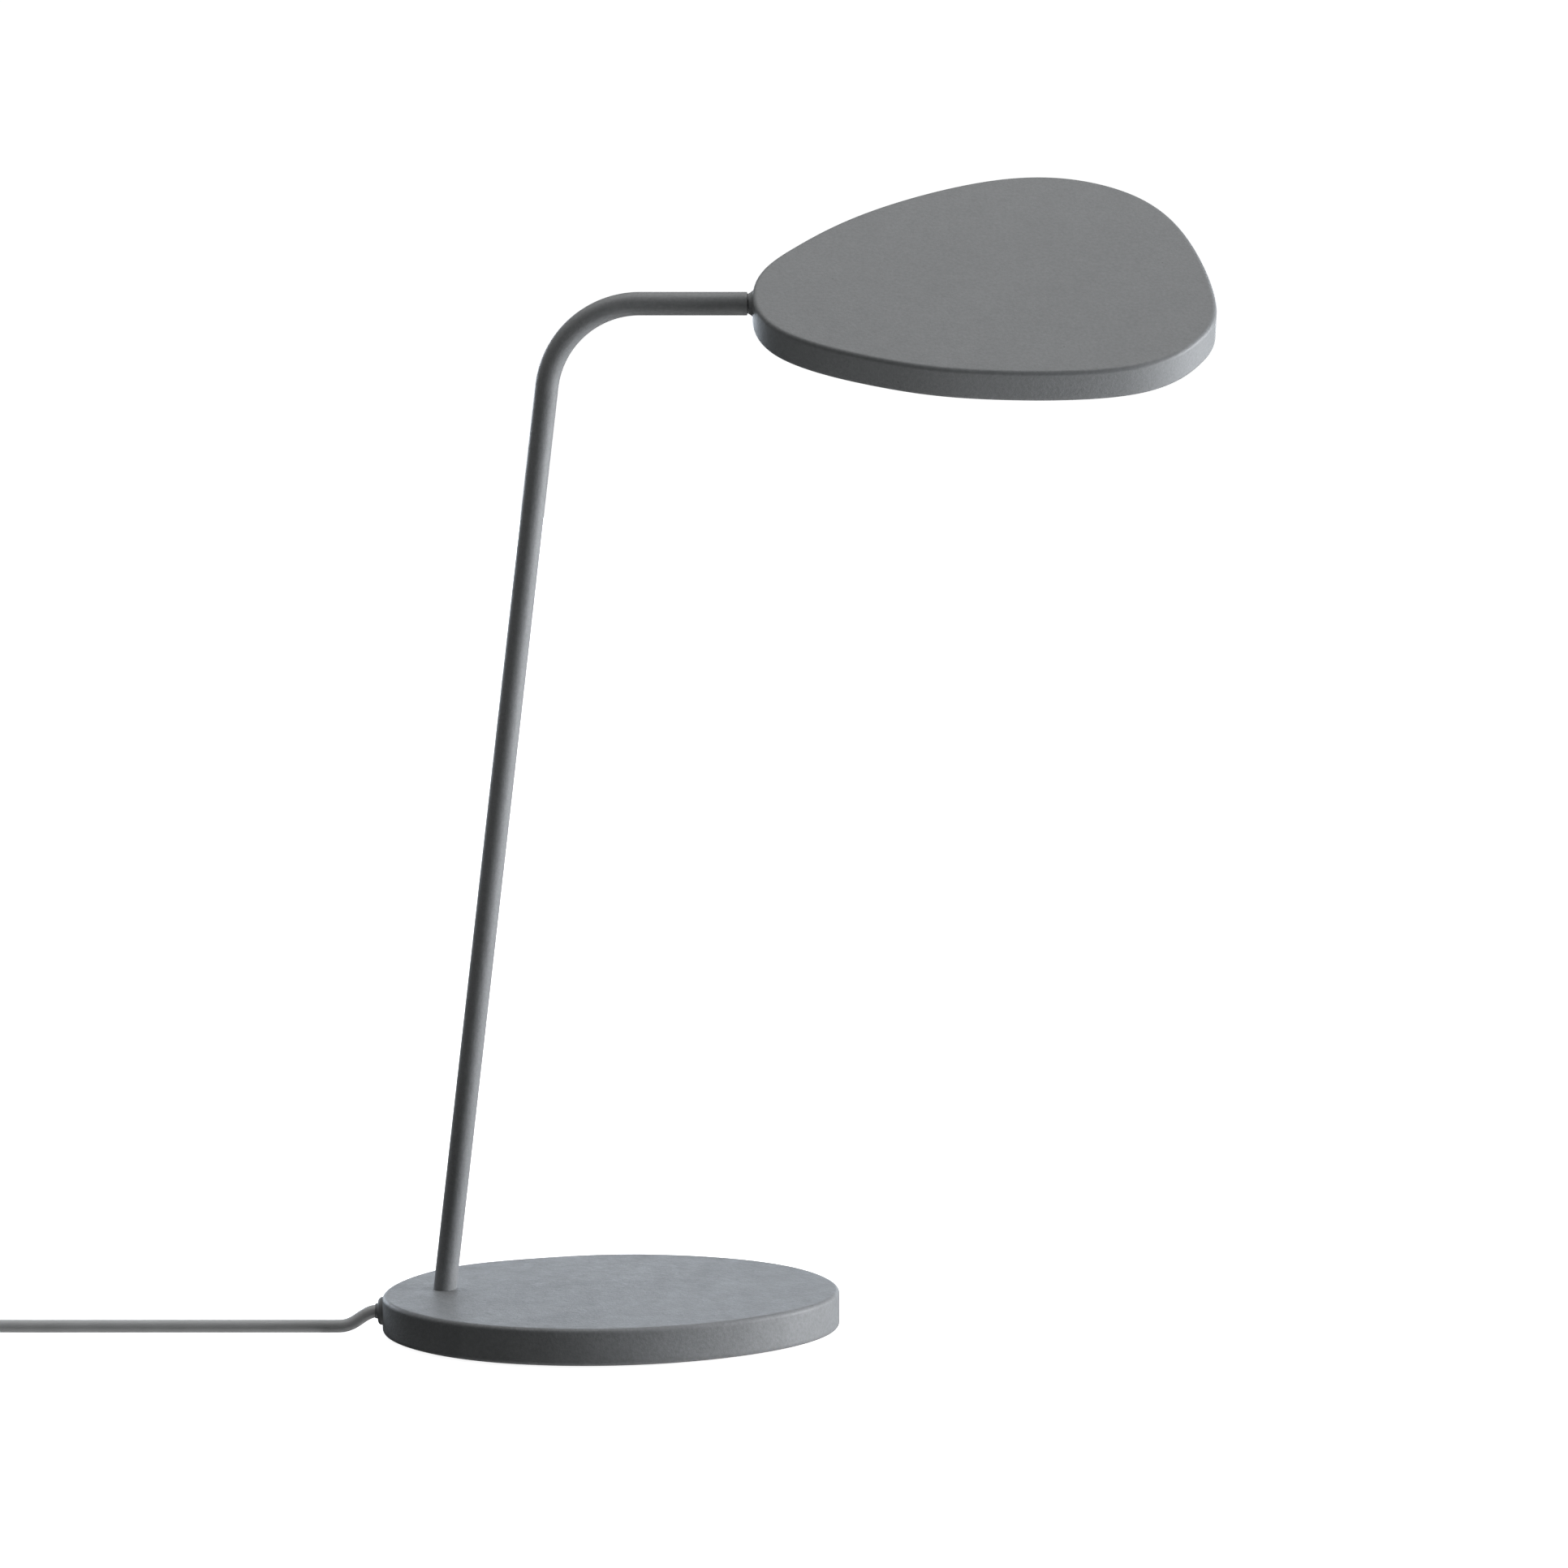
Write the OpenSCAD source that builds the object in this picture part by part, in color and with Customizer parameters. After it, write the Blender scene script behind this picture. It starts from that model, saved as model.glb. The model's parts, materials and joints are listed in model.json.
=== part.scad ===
// Table lamp: a leaf-shaped weighted base, one bent tube for stem and arm, and a leaf-shaped LED head that
// rolls about the arm.  X runs along the arm, Z is up, and the stem and arm lie in the plane Y = 0.
// The origin is on the table, under the middle of the base's length.

/* [Base] */
// Height of the base's top face above the table
base_t = 13.5; // [12.5:0.5:16]
// Radius of the rounded edges of the base and of the head
edge_r = 1.5; // [1:0.1:1.8]
// Thickness of the metal above the base's pocket
base_skin = 3; // [2.5:0.1:3.2]
// Thickness of the rubber pad under the base
pad_t = 0.8; // [0.6:0.1:0.9]

/* [Stem and arm] */
// Outer diameter of the stem tube
tube_d = 8; // [7.8:0.1:8.2]
// Wall of the stem tube
tube_wall = 1; // [1:0.1:1.2]
// Where the stem's axis meets the base's top face, along X
foot_x = -57.8; // [-59:0.1:-57]
// Lean of the stem towards the head, in degrees from upright
lean = 6.75; // [5:0.25:7]
// Height of the arm's axis above the table
arm_z = 357; // [330:1:380]
// Radius of the bend between stem and arm, at the tube's axis
bend_r = 32; // [25:1:38]
// End of the arm tube, along X
arm_end = 48; // [47.9:0.1:48]

/* [Head] */
// Thickness of the head
head_t = 12.5; // [12.5:0.1:13]
// Roll of the head about the arm as it rests, in degrees
head_roll = 33; // [0:1:60]
// Thickness of the head shell's top
head_skin = 2; // [1.8:0.1:2]

/* [Cord] */
// Diameter of the cord
cord_d = 4.5; // [4:0.1:4.5]
// Height of the cord outlet's centre above the table
outlet_z = 7.2; // [7:0.1:7.3]
// Position of the cord outlet along Y
outlet_y = -7; // [-8:0.5:-6]

/* [Hidden] */

$fn = 48;
gap = 0.05;             // running clearance between parts that turn or slide on each other
fine = 0.02;            // clearance between parts that are pressed or screwed together
over = 1;               // how far a cutter runs past the face that it opens
powder_grey = [0.45, 0.46, 0.47];
bright_steel = [0.72, 0.73, 0.75];
board_green = [0.10, 0.36, 0.20];
black_plastic = [0.08, 0.08, 0.09];
white_plastic = [0.92, 0.92, 0.90];

// Control points of the closed curves that outline the base, the head and the head's light window.
base_curve = [
    [87, 0], [64, 45], [6, 60], [-33, 48], [-64, 36],
    [-87, -11], [-62, -48], [-25, -63], [22, -61], [67, -37]
];
head_curve = [
    [210, -10], [198, 44], [171, 64], [137, 68], [87, 46], [63, 24],
    [48, 8], [50, -24], [95, -41], [124, -47], [185, -47], [204, -25]
];
window_curve = [
    [198, -9], [186, 36], [165, 51], [137, 54], [108, 38], [94, 16],
    [91, -8], [102, -28], [126, -35], [178, -35], [192, -21]
];
curve_steps = 8;        // points on each span of a curve
edge_steps = 3;         // facets across each rounded edge

// Base: its levels, and the places of its screws.
body_low = 0.5;
cover_t = 1.2;
cover_top = pad_t + cover_t;
base_roof = base_t - base_skin;
base_wall = 5;
rebate_inset = 2.5;
cover_screw_inset = 8.2;
cover_screw_at = [for (i = [2, 6, 11, 15, 18]) curve(base_curve, cover_screw_inset, 2)[i]];
ballast_screw_at = [[14, 8], [50, -10]];
ballast_left = -6;
board_low = 3.4;
board_t = 1.2;
board_top = board_low + board_t;
board_box = [[-46, -24], [-12, 14]];
board_screw_at = [[-42, 10], [-16, -20]];
clamp_x = -68.5;
clamp_low = 3.6;
clamp_pitch = 5.2;
outlet_face = -81.3;    // outer face of the grommet, where the cord leaves it
grommet_lip = -73.4;
lead_end = -65.5;

// Stem: distances along its axis, counted from the base's top face.
tube_r = tube_d / 2;
bore_r = tube_r - tube_wall;
boss_face = -4;
washer_t = 0.6;
nut_t = 2.8;
tube_foot = -7.9;
bend_angle = 90 - lean;
bend_reach = bend_r * tan(bend_angle / 2);
corner_x = foot_x + (arm_z - base_t) * tan(lean);
stem_length = (arm_z - base_t) / cos(lean) - bend_reach;
bend_x = corner_x + bend_reach;

// Head: levels across its thickness, counted from the arm's axis.
head_half = head_t / 2;
head_roof = head_half - head_skin;
lid_top = -4.75;
lid_low = -5.95;
head_screw_inset = 5.2;
head_screw_at = [for (i = [2, 5, 8, 13, 16, 19, 23]) curve(head_curve, head_screw_inset, 2)[i]];
spreader_screw_at = [[97, 26], [97, -20], [183, 24], [183, -26]];
spreader_t = 1.2;
led_board_t = 1;
led_board_low = head_roof - spreader_t - led_board_t;
light_centre = [145, 5];
button_at = [76, -1];
switch_low = -0.6;

// Swivel: distances along X.
journal_r = 2.75;
bush_r = 3.75;
washer_face = 48.36;
bush_start = 48.4;
nose_face = 50.3;
bush_end = 61.6;
pin_x = 58;
spindle_end = 64.8;

// Cord: the free stretch from the outlet to the coil, and the stretch from the coil to the adapter.
cord_r = cord_d / 2;
cord_route = [
    [-81.3, -7, 7.2], [-82.8, -7, 6.9], [-84.3, -7.2, 6.35], [-85.7, -7.4, 5.6], [-87.1, -7.7, 4.7],
    [-88.6, -8, 3.75], [-90.2, -8.3, 2.95], [-91.9, -8.6, 2.45], [-93.8, -8.8, 2.25], [-96, -8.95, 2.25],
    [-100, -9, 2.25], [-106, -9, 2.25],
    [-124, -9, 2.25], [-144, -9, 2.25], [-164, -9, 2.25], [-184, -9, 2.25], [-204, -9, 2.25],
    [-222, -9, 2.4], [-236, -9, 2.8], [-244, -9, 3]
];
tail_route = [
    [-260, -9, 7.55], [-264, -9, 7.9], [-268, -9, 8.9], [-272, -9, 10.5], [-276, -9, 12.1],
    [-280, -9, 13.2], [-283, -9, 13.5], [-285, -9, 13.5]
];
coil_at = [-256, 25.5];
coil_low = 0.8;         // the strap's thickness holds the coil this far off the table
coil_inner = 14.25;
coil_outer = 36.75;

// Adapter, at the cord's far end.
adapter_x = -300;
adapter_size = [46, 40, 27];
adapter_y = -9;
adapter_wall = 2;

// A point and a direction on one span of a closed uniform cubic spline.
function span_point(c, i, t) =
    let (n = len(c))
    ((1 - t) * (1 - t) * (1 - t) * c[i]
        + (3 * t * t * t - 6 * t * t + 4) * c[(i + 1) % n]
        + (-3 * t * t * t + 3 * t * t + 3 * t + 1) * c[(i + 2) % n]
        + t * t * t * c[(i + 3) % n]) / 6;
function span_direction(c, i, t) =
    let (n = len(c))
    (-(1 - t) * (1 - t) * c[i]
        + (3 * t * t - 4 * t) * c[(i + 1) % n]
        + (-3 * t * t + 2 * t + 1) * c[(i + 2) % n]
        + t * t * c[(i + 3) % n]) / 2;
function inward(d) = [-d[1], d[0]] / norm(d);

// The whole closed curve, moved inwards by inset.
function curve(c, inset = 0, steps = curve_steps) = [
    for (i = [0 : len(c) - 1], s = [0 : steps - 1])
        span_point(c, i, s / steps) + inset * inward(span_direction(c, i, s / steps))
];

// The curve shrunk towards a centre.
function shrunk(c, centre, factor, steps) = [for (p = curve(c, 0, steps)) centre + factor * (p - centre)];

// Faces between neighbouring rings of n points, and the same faces turned to look inwards.
function side_faces(rings, n, first = 0) = [
    for (j = [0 : rings - 2], k = [0 : n - 1])
        let (a = first + j * n, b = a + n, next = (k + 1) % n)
        each [[a + k, b + k, b + next], [a + k, b + next, a + next]]
];
function turned_in(faces) = [for (f = faces) [f[2], f[1], f[0]]];

// Faces of a skin over rings of n points, closed at both ends.
function skin_faces(rings, n) = concat(
    [[for (k = [0 : n - 1]) k]],
    side_faces(rings, n),
    [[for (k = [n - 1 : -1 : 0]) (rings - 1) * n + k]]
);

// A plate with the outline c, from low to high, with both edges rounded.
module rounded_plate(c, low, high, radius) {
    turns = [for (k = [0 : edge_steps]) 90 * k / edge_steps];
    levels = concat(
        [for (a = turns) [radius * (1 - sin(a)), low + radius * (1 - cos(a))]],
        [for (a = turns) [radius * (1 - cos(a)), high - radius * (1 - sin(a))]]
    );
    rings = [for (l = levels) [for (p = curve(c, l[0])) [p[0], p[1], l[1]]]];
    polyhedron([for (r = rings) each r], skin_faces(len(rings), len(rings[0])));
}

// A plate with the outline c moved inwards by inset, with square edges.
module flat_plate(c, inset, low, high) {
    translate([0, 0, low]) linear_extrude(high - low) polygon(curve(c, inset));
}

// A box between two opposite corners.
module box(low, high) {
    translate(low) cube(high - low);
}

// A disc or post standing on Z, from low to high.
module post(at, r, low, high) {
    translate([at[0], at[1], low]) cylinder(r = r, h = high - low);
}

// A ring on the X axis, from one X to another.
module ring_x(from, to, inner, outer) {
    translate([from, 0, 0]) rotate([0, 90, 0]) difference() {
        cylinder(r = outer, h = to - from);
        translate([0, 0, -over]) cylinder(r = inner, h = to - from + 2 * over);
    }
}

// A profile of [x, radius] points turned about the X axis.
module turned_x(profile) {
    rotate([0, 90, 0]) rotate_extrude() polygon([for (p = profile) [p[1], p[0]]]);
}

// A countersunk screw that points up, with its head's face at low.
module countersunk_screw(at, low, high, shank_r) {
    head_h = shank_r;
    translate([at[0], at[1], low]) {
        cylinder(r1 = 2 * shank_r, r2 = shank_r, h = head_h);
        translate([0, 0, head_h]) cylinder(r = shank_r - fine, h = high - low - head_h);
    }
}

// The hole for a countersunk screw.
module countersunk_hole(at, low, high, shank_r) {
    head_h = shank_r;
    translate([at[0], at[1], low - over]) cylinder(r = shank_r + 0.2, h = high - low + 2 * over);
    translate([at[0], at[1], low]) cylinder(r1 = 2 * shank_r + gap, r2 = shank_r + gap, h = head_h);
    translate([at[0], at[1], low - over]) cylinder(r = 2 * shank_r + gap, h = over + fine);
}

// A pan-head screw that points up, with the underside of its head at seat.
module pan_screw(at, seat, high, shank_r) {
    head_h = 1.1 * shank_r;
    translate([at[0], at[1], seat - head_h]) cylinder(r = 1.9 * shank_r, h = head_h);
    translate([at[0], at[1], seat]) cylinder(r = shank_r - fine, h = high - seat);
}

// A smooth path through a list of points.
function path_point(p, i, t) =
    let (a = p[max(i - 1, 0)], b = p[i], c = p[i + 1], d = p[min(i + 2, len(p) - 1)])
    0.5 * (2 * b + (c - a) * t + (2 * a - 5 * b + 4 * c - d) * t * t + (3 * b - a - 3 * c + d) * t * t * t);
function smooth_path(p, steps) = concat(
    [for (i = [0 : len(p) - 2], s = [0 : steps - 1]) path_point(p, i, s / steps)],
    [p[len(p) - 1]]
);
function heading(p, i) =
    let (d = p[min(i + 1, len(p) - 1)] - p[max(i - 1, 0)])
    d / norm(d);

// Rings of points round a path; across is a direction that the path never takes.
function path_rings(path, radius, sides, across) = [
    for (i = [0 : len(path) - 1])
        let (t = heading(path, i), u = cross(across, t) / norm(cross(across, t)), v = cross(t, u))
        for (k = [0 : sides - 1])
            path[i] + radius * (cos(360 * k / sides) * u + sin(360 * k / sides) * v)
];

// A round wire or cord along a path.
module swept(path, radius, sides, across) {
    polyhedron(path_rings(path, radius, sides, across), skin_faces(len(path), sides));
}

// A round tube along a path, open at both ends.
module swept_tube(path, outer, inner, sides, across) {
    rings = len(path);
    bore = rings * sides;
    far = (rings - 1) * sides;
    polyhedron(
        concat(path_rings(path, outer, sides, across), path_rings(path, inner, sides, across)),
        concat(
            side_faces(rings, sides),
            turned_in(side_faces(rings, sides, bore)),
            [for (k = [0 : sides - 1]) let (n = (k + 1) % sides) [k, n, bore + n, bore + k]],
            [for (k = [0 : sides - 1]) let (n = (k + 1) % sides)
                [far + n, far + k, bore + far + k, bore + far + n]]
        )
    );
}

// Places a child on the stem's axis, with its Z along the axis and 0 at the base's top face.
module on_stem() {
    translate([foot_x, 0, base_t]) rotate([0, lean, 0]) children();
}

// Places a child in the head's own frame: X along the arm, Z square to the head, 0 on the arm's axis.
module on_head() {
    translate([0, 0, arm_z]) rotate([head_roll, 0, 0]) children();
}

module on_arm() {
    translate([0, 0, arm_z]) children();
}

module base_body() {
    color(powder_grey) difference() {
        union() {
            difference() {
                rounded_plate(base_curve, body_low, base_t, edge_r);
                flat_plate(base_curve, base_wall, cover_top - over, base_roof);
                flat_plate(base_curve, rebate_inset, body_low - over, cover_top);
            }
            for (at = cover_screw_at) post(at, 3.5, cover_top, base_roof + over);
            for (at = board_screw_at) post(at, 2.5, board_top, base_roof + over);
            for (side = [-1, 1])
                post([clamp_x, outlet_y + side * clamp_pitch], 2, outlet_z, base_roof + over);
            intersection() {
                on_stem() translate([0, 0, boss_face]) cylinder(r = 8, h = -boss_face);
                box([foot_x - 20, -20, cover_top], [foot_x + 20, 20, base_t - over]);
            }
        }
        on_stem() translate([0, 0, boss_face - over]) cylinder(r = tube_r + fine, h = over - boss_face + 3);
        for (at = cover_screw_at) post(at, 1.3, cover_top - over, base_roof - 1);
        for (at = board_screw_at) post(at, 1.05, board_top - over, base_roof - 1);
        for (at = ballast_screw_at) post(at, 1.75, base_roof - over, base_roof + 2);
        for (side = [-1, 1])
            post([clamp_x, outlet_y + side * clamp_pitch], 0.9, outlet_z - over, base_roof + 1.6);
        translate([outlet_face, outlet_y, outlet_z]) rotate([0, 90, 0]) cylinder(r = 3.3, h = 10);
        translate([outlet_face - 5, outlet_y, outlet_z]) rotate([0, 90, 0]) cylinder(r = 4.95, h = 8.6);
        translate([grommet_lip, outlet_y, outlet_z]) rotate([0, 90, 0]) cylinder(r = 4.1, h = 3);
    }
}

module ballast_plate() {
    color(bright_steel) difference() {
        intersection() {
            flat_plate(base_curve, base_wall + 1, cover_top + 0.6, base_roof);
            box([ballast_left, -100, 0], [100, 100, base_t]);
        }
        for (at = cover_screw_at) post(at, 4, 0, base_t);
        for (at = ballast_screw_at) countersunk_hole(at, cover_top + 0.6, base_roof, 2);
    }
}

module ballast_screws() {
    color(bright_steel)
        for (at = ballast_screw_at) countersunk_screw(at, cover_top + 0.6, base_roof + 1.8, 1.77);
}

module base_cover() {
    color(powder_grey) difference() {
        flat_plate(base_curve, rebate_inset + 0.2, pad_t, cover_top);
        for (at = cover_screw_at) countersunk_hole(at, pad_t, cover_top, 1.2);
    }
}

module cover_screws() {
    color(bright_steel) for (at = cover_screw_at) countersunk_screw(at, pad_t, 8, 1.2);
}

module foot_pad() {
    color(black_plastic) flat_plate(base_curve, rebate_inset + 1.5, 0, pad_t);
}

// The axis of the stem, the bend and the arm.
tube_sides = 32;
bend_steps = 16;
function stem_axis(s) = [foot_x + s * sin(lean), 0, base_t + s * cos(lean)];
bend_path = [
    for (k = [0 : bend_steps])
        let (a = 180 - lean - bend_angle * k / bend_steps)
        [bend_x + bend_r * cos(a), 0, arm_z - bend_r + bend_r * sin(a)]
];

module stem_tube() {
    path = concat([stem_axis(tube_foot), stem_axis(stem_length - 1)], bend_path,
        [[bend_x + 1, 0, arm_z], [arm_end, 0, arm_z]]);
    color(powder_grey) swept_tube(path, tube_r, bore_r, tube_sides, [0, 1, 0]);
}

module stem_washer() {
    color(bright_steel) on_stem() translate([0, 0, boss_face - washer_t]) difference() {
        cylinder(r = 6.8, h = washer_t);
        translate([0, 0, -over]) cylinder(r = tube_r + gap, h = washer_t + 2 * over);
    }
}

module stem_nut() {
    color(bright_steel) on_stem() translate([0, 0, boss_face - washer_t - nut_t]) difference() {
        cylinder(r = 6.9, h = nut_t, $fn = 6);
        translate([0, 0, -over]) cylinder(r = tube_r + fine, h = nut_t + 2 * over);
    }
}

// The grommet: a domed flange outside, a short sleeve round the cord, and a lip inside the wall.
module cable_grommet() {
    flange = outlet_face + 0.6;
    wall_face = outlet_face + 3.6;
    color("dimgray") translate([0, outlet_y, outlet_z]) turned_x([
        [outlet_face, cord_r + gap], [outlet_face, 2.7], [flange, 2.8], [flange, 3.4],
        [flange + 0.2, 4.1], [flange + 0.6, 4.6], [flange + 1.4, 4.9], [wall_face, 4.9], [wall_face, 3.25],
        [grommet_lip, 3.25], [grommet_lip, 4], [grommet_lip + 1, 3.8], [grommet_lip + 1, cord_r + gap]
    ]);
}

module base_lead() {
    color(powder_grey) translate([outlet_face, outlet_y, outlet_z]) rotate([0, 90, 0])
        cylinder(r = cord_r, h = lead_end - outlet_face);
}

// The two insulated cores between the end of the jacket and the board's input terminal.
module lead_wires() {
    for (side = [-1, 1]) color(side < 0 ? "firebrick" : black_plastic) swept(smooth_path([
        [lead_end, outlet_y + 0.9 * side, outlet_z], [lead_end + 0.5, outlet_y + 0.9 * side, outlet_z],
        [-63.5, -8.2 + 0.9 * side, outlet_z], [-60.5, -10.8 + side, outlet_z],
        [-57, -12.1 + 1.1 * side, outlet_z], [-52, -12.2 + 1.3 * side, outlet_z],
        [-45, -12 + 1.5 * side, outlet_z], [-44, -12 + 1.5 * side, outlet_z]
    ], 2), 0.75, 8, [0, 0, 1]);
}

module cable_clamp() {
    color(black_plastic) difference() {
        box([clamp_x - 2, outlet_y - 7.2, clamp_low], [clamp_x + 2, outlet_y + 7.2, outlet_z - 0.1]);
        translate([clamp_x - 5, outlet_y, outlet_z]) rotate([0, 90, 0]) cylinder(r = cord_r + fine, h = 10);
        for (side = [-1, 1]) post([clamp_x, outlet_y + side * clamp_pitch], 1.1, 0, base_t);
    }
}

module clamp_screws() {
    color(bright_steel) for (side = [-1, 1])
        pan_screw([clamp_x, outlet_y + side * clamp_pitch], clamp_low, base_roof + 1.4, 0.9);
}

module driver_board() {
    color(board_green) difference() {
        box([each board_box[0], board_low], [each board_box[1], board_top]);
        for (at = board_screw_at) post(at, 1.3, 0, base_t);
    }
}

module board_screws() {
    color(bright_steel) for (at = board_screw_at) pan_screw(at, board_low, base_roof - 1.2, 1.05);
}

module terminal_blocks() {
    color("white") {
        box([-44, -16.5, board_top], [-36, -7.5, 9.6]);
        box([-44, -2.5, board_top], [-37, 5.5, 9.6]);
    }
}

module board_components() {
    color("dimgray") post([-24, 6], 4.5, board_top, 9.4);
    color("silver") post([-21, -8], 2.5, board_top, 10);
    color(black_plastic) {
        box([-33, -6, board_top], [-27, 0, 6.4]);
        box([-32, -21, board_top], [-24, -15, 6.8]);
    }
}

// The flat pair of wires from the board up through the stem and along the arm.
stem_foot_wire = [
    [-44, 1.5, 7], [-45, 1.5, 7], [-48, 1.4, 6.2], [-50.3, 1, 4.7], [-53, 0.5, 3.7], [-56.5, 0.1, 3.6]
];
module stem_wire() {
    path = concat(
        smooth_path(concat(stem_foot_wire, [stem_axis(tube_foot - 0.6), stem_axis(-5)]), 3),
        [stem_axis(0), stem_axis(stem_length / 2), stem_axis(stem_length - 1)],
        [for (k = [0 : 2 : bend_steps]) bend_path[k]],
        [[bend_x + 1, 0, arm_z], [arm_end, 0, arm_z], [spindle_end + 0.5, 0, arm_z]]
    );
    color(white_plastic) swept(path, 1.1, 8, [0, 1, 0]);
}

// The fixed half of the swivel: a hollow spindle pressed into the end of the arm.
module swivel_spindle() {
    groove_r = 2.25;
    color(bright_steel) on_arm() difference() {
        turned_x([
            [34, 1.5], [34, 2.6], [34.6, bore_r - gap], [arm_end, bore_r - gap], [arm_end, journal_r],
            [63.4, journal_r], [63.4, groove_r], [64.2, groove_r], [64.2, journal_r], [64.5, journal_r],
            [spindle_end, 2.4], [spindle_end, 1.5]
        ]);
        translate([pin_x, 0, 0]) cylinder(r = 0.6 + fine, h = 5);
    }
}

module thrust_washer() {
    color(black_plastic) on_arm() ring_x(arm_end + fine, washer_face, journal_r + fine, 3.4);
}

module stop_pin() {
    color(bright_steel) on_arm() translate([pin_x, 0, 1.6]) cylinder(r = 0.6, h = 2);
}

module friction_washer() {
    color(white_plastic) on_arm() ring_x(bush_end + gap, 62.4, journal_r + fine, 3.9);
}

module wave_washer() {
    color(bright_steel) on_arm() ring_x(62.45, 63.35, journal_r + fine, 3.9);
}

module spindle_circlip() {
    color(bright_steel) on_arm() difference() {
        ring_x(63.45, 64.15, 2.27, 3.9);
        box([63, -1.2, -5], [65, 1.2, 0]);
    }
}

// The turning half of the swivel: a bush with a flared collar, pressed into the head's nose.
module neck_bush() {
    color(powder_grey) on_head() difference() {
        turned_x([
            [bush_start, journal_r + gap], [bush_start, 3.5], [bush_start + 0.4, 3.6], [49.6, 4.1],
            [nose_face, 4.5], [nose_face, bush_r], [bush_end, bush_r], [bush_end, journal_r + gap]
        ]);
        box([pin_x - 0.8, -6, -0.9], [pin_x + 0.8, 6, 6]);
    }
}

module head_shell() {
    boss_end = 61;
    post_r = 2;
    color(powder_grey) on_head() difference() {
        union() {
            difference() {
                rounded_plate(head_curve, -head_half, head_half, edge_r);
                flat_plate(head_curve, 3.6, lid_top - over, head_roof);
                flat_plate(head_curve, 2.2, -head_half - over, lid_top);
            }
            translate([nose_face + 1, 0, 0]) rotate([0, 90, 0])
                cylinder(r = -lid_top, h = boss_end - nose_face - 1);
            for (at = head_screw_at) post(at, post_r, lid_top, head_roof + 0.5);
            for (at = switch_screw_at) post(at, 1.8, switch_low + 1, head_roof + 0.5);
        }
        translate([nose_face - 5, 0, 0]) rotate([0, 90, 0]) cylinder(r = 4.5 + fine, h = 5);
        translate([nose_face - over, 0, 0]) rotate([0, 90, 0]) cylinder(r = bush_r + fine, h = 20 + over);
        for (at = head_screw_at) post(at, 0.8, lid_top - over, head_roof - 1);
        for (at = switch_screw_at) post(at, 0.8, switch_low, head_roof - 1);
        for (at = spreader_screw_at) post(at, 0.9, head_roof - over, head_roof + 1.2);
    }
}

module heat_spreader() {
    color("silver") on_head() difference() {
        intersection() {
            flat_plate(head_curve, 8, head_roof - spreader_t, head_roof);
            box([86, -100, -20], [220, 100, 20]);
        }
        for (at = spreader_screw_at) post(at, 1.1, -20, 20);
    }
}

module led_board() {
    color("white") on_head() difference() {
        intersection() {
            flat_plate(head_curve, 12, led_board_low, led_board_low + led_board_t);
            box([87, -100, -20], [220, 100, 20]);
        }
        for (at = spreader_screw_at) post(at, 1.1, -20, 20);
    }
}

module spreader_screws() {
    color(bright_steel) on_head() for (at = spreader_screw_at)
        pan_screw(at, led_board_low, head_roof + 1.1, 0.9);
}

// Where the LEDs sit: two loops that follow the light window.
led_at = concat(shrunk(window_curve, light_centre, 0.72, 2), shrunk(window_curve, light_centre, 0.3, 1));
led_size = [3.2, 2.8, 0.7];

module led_chips() {
    color("gold") on_head() for (at = led_at)
        translate([at[0], at[1], led_board_low - led_size[2] / 2]) cube(led_size, center = true);
}

module led_connector() {
    color(white_plastic) on_head() box([87, -3.5, led_board_low - 2.6], [92, 3.5, led_board_low]);
}

// The white tray round the LEDs, which stands on the diffuser's flange.
module reflector() {
    floor_low = led_board_low - 1.1;
    color(white_plastic) on_head() difference() {
        flat_plate(window_curve, -2, lid_top + 1.5, floor_low + 0.6);
        flat_plate(window_curve, -0.8, lid_top, floor_low);
        for (at = led_at) translate([at[0], at[1], floor_low]) cube([4.6, 4.2, 4], center = true);
        for (at = spreader_screw_at) post(at, 2.4, -20, 20);
        box([80, -4.5, floor_low - 2], [93, 4.5, floor_low + 2]);
    }
}

module diffuser() {
    color("white") on_head() {
        flat_plate(window_curve, -3, lid_top, lid_top + 1.5 - fine);
        flat_plate(window_curve, 0, lid_low, lid_top + 0.5);
    }
}

module head_cover() {
    color(powder_grey) on_head() difference() {
        flat_plate(head_curve, 2.4, lid_low, lid_top);
        flat_plate(window_curve, -0.15, -20, 20);
        for (at = head_screw_at) countersunk_hole(at, lid_low, lid_top, 0.8);
        post(button_at, 4.35, -20, 20);
    }
}

module head_cover_screws() {
    color(bright_steel) on_head() for (at = head_screw_at)
        countersunk_screw(at, lid_low, head_roof - 1.2, 0.8);
}

// The wire from the swivel to the LED board's connector.
module head_wire() {
    path = smooth_path([
        [65.8, 0, 0], [67.4, 0, 0.5], [69, 0, 1.5], [72, 0, 2.4], [78, 0, 2.4], [82, 0, 2],
        [84.5, 0, 1.1], [86.3, 0, 0.8], [87, 0, 0.8]
    ], 3);
    color(white_plastic) on_head() swept(path, 0.9, 8, [0, 1, 0]);
}

switch_screw_at = [button_at + [-4.3, 5.2], button_at + [4.3, -5.2]];
switch_body_low = -3.4;

module switch_board() {
    color(board_green) on_head() difference() {
        box([each button_at - [6, 7], switch_low], [each button_at + [6, 7], switch_low + 1]);
        for (at = switch_screw_at) post(at, 1, -20, 20);
    }
}

module switch_screws() {
    color(bright_steel) on_head() for (at = switch_screw_at) pan_screw(at, switch_low, head_roof - 1.2, 0.8);
}

module tact_switch() {
    color(black_plastic) on_head() difference() {
        box([each button_at - [3, 3], switch_body_low], [each button_at + [3, 3], switch_low]);
        post(button_at, 1.4, switch_body_low - over, switch_body_low + 1.2);
    }
}

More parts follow.
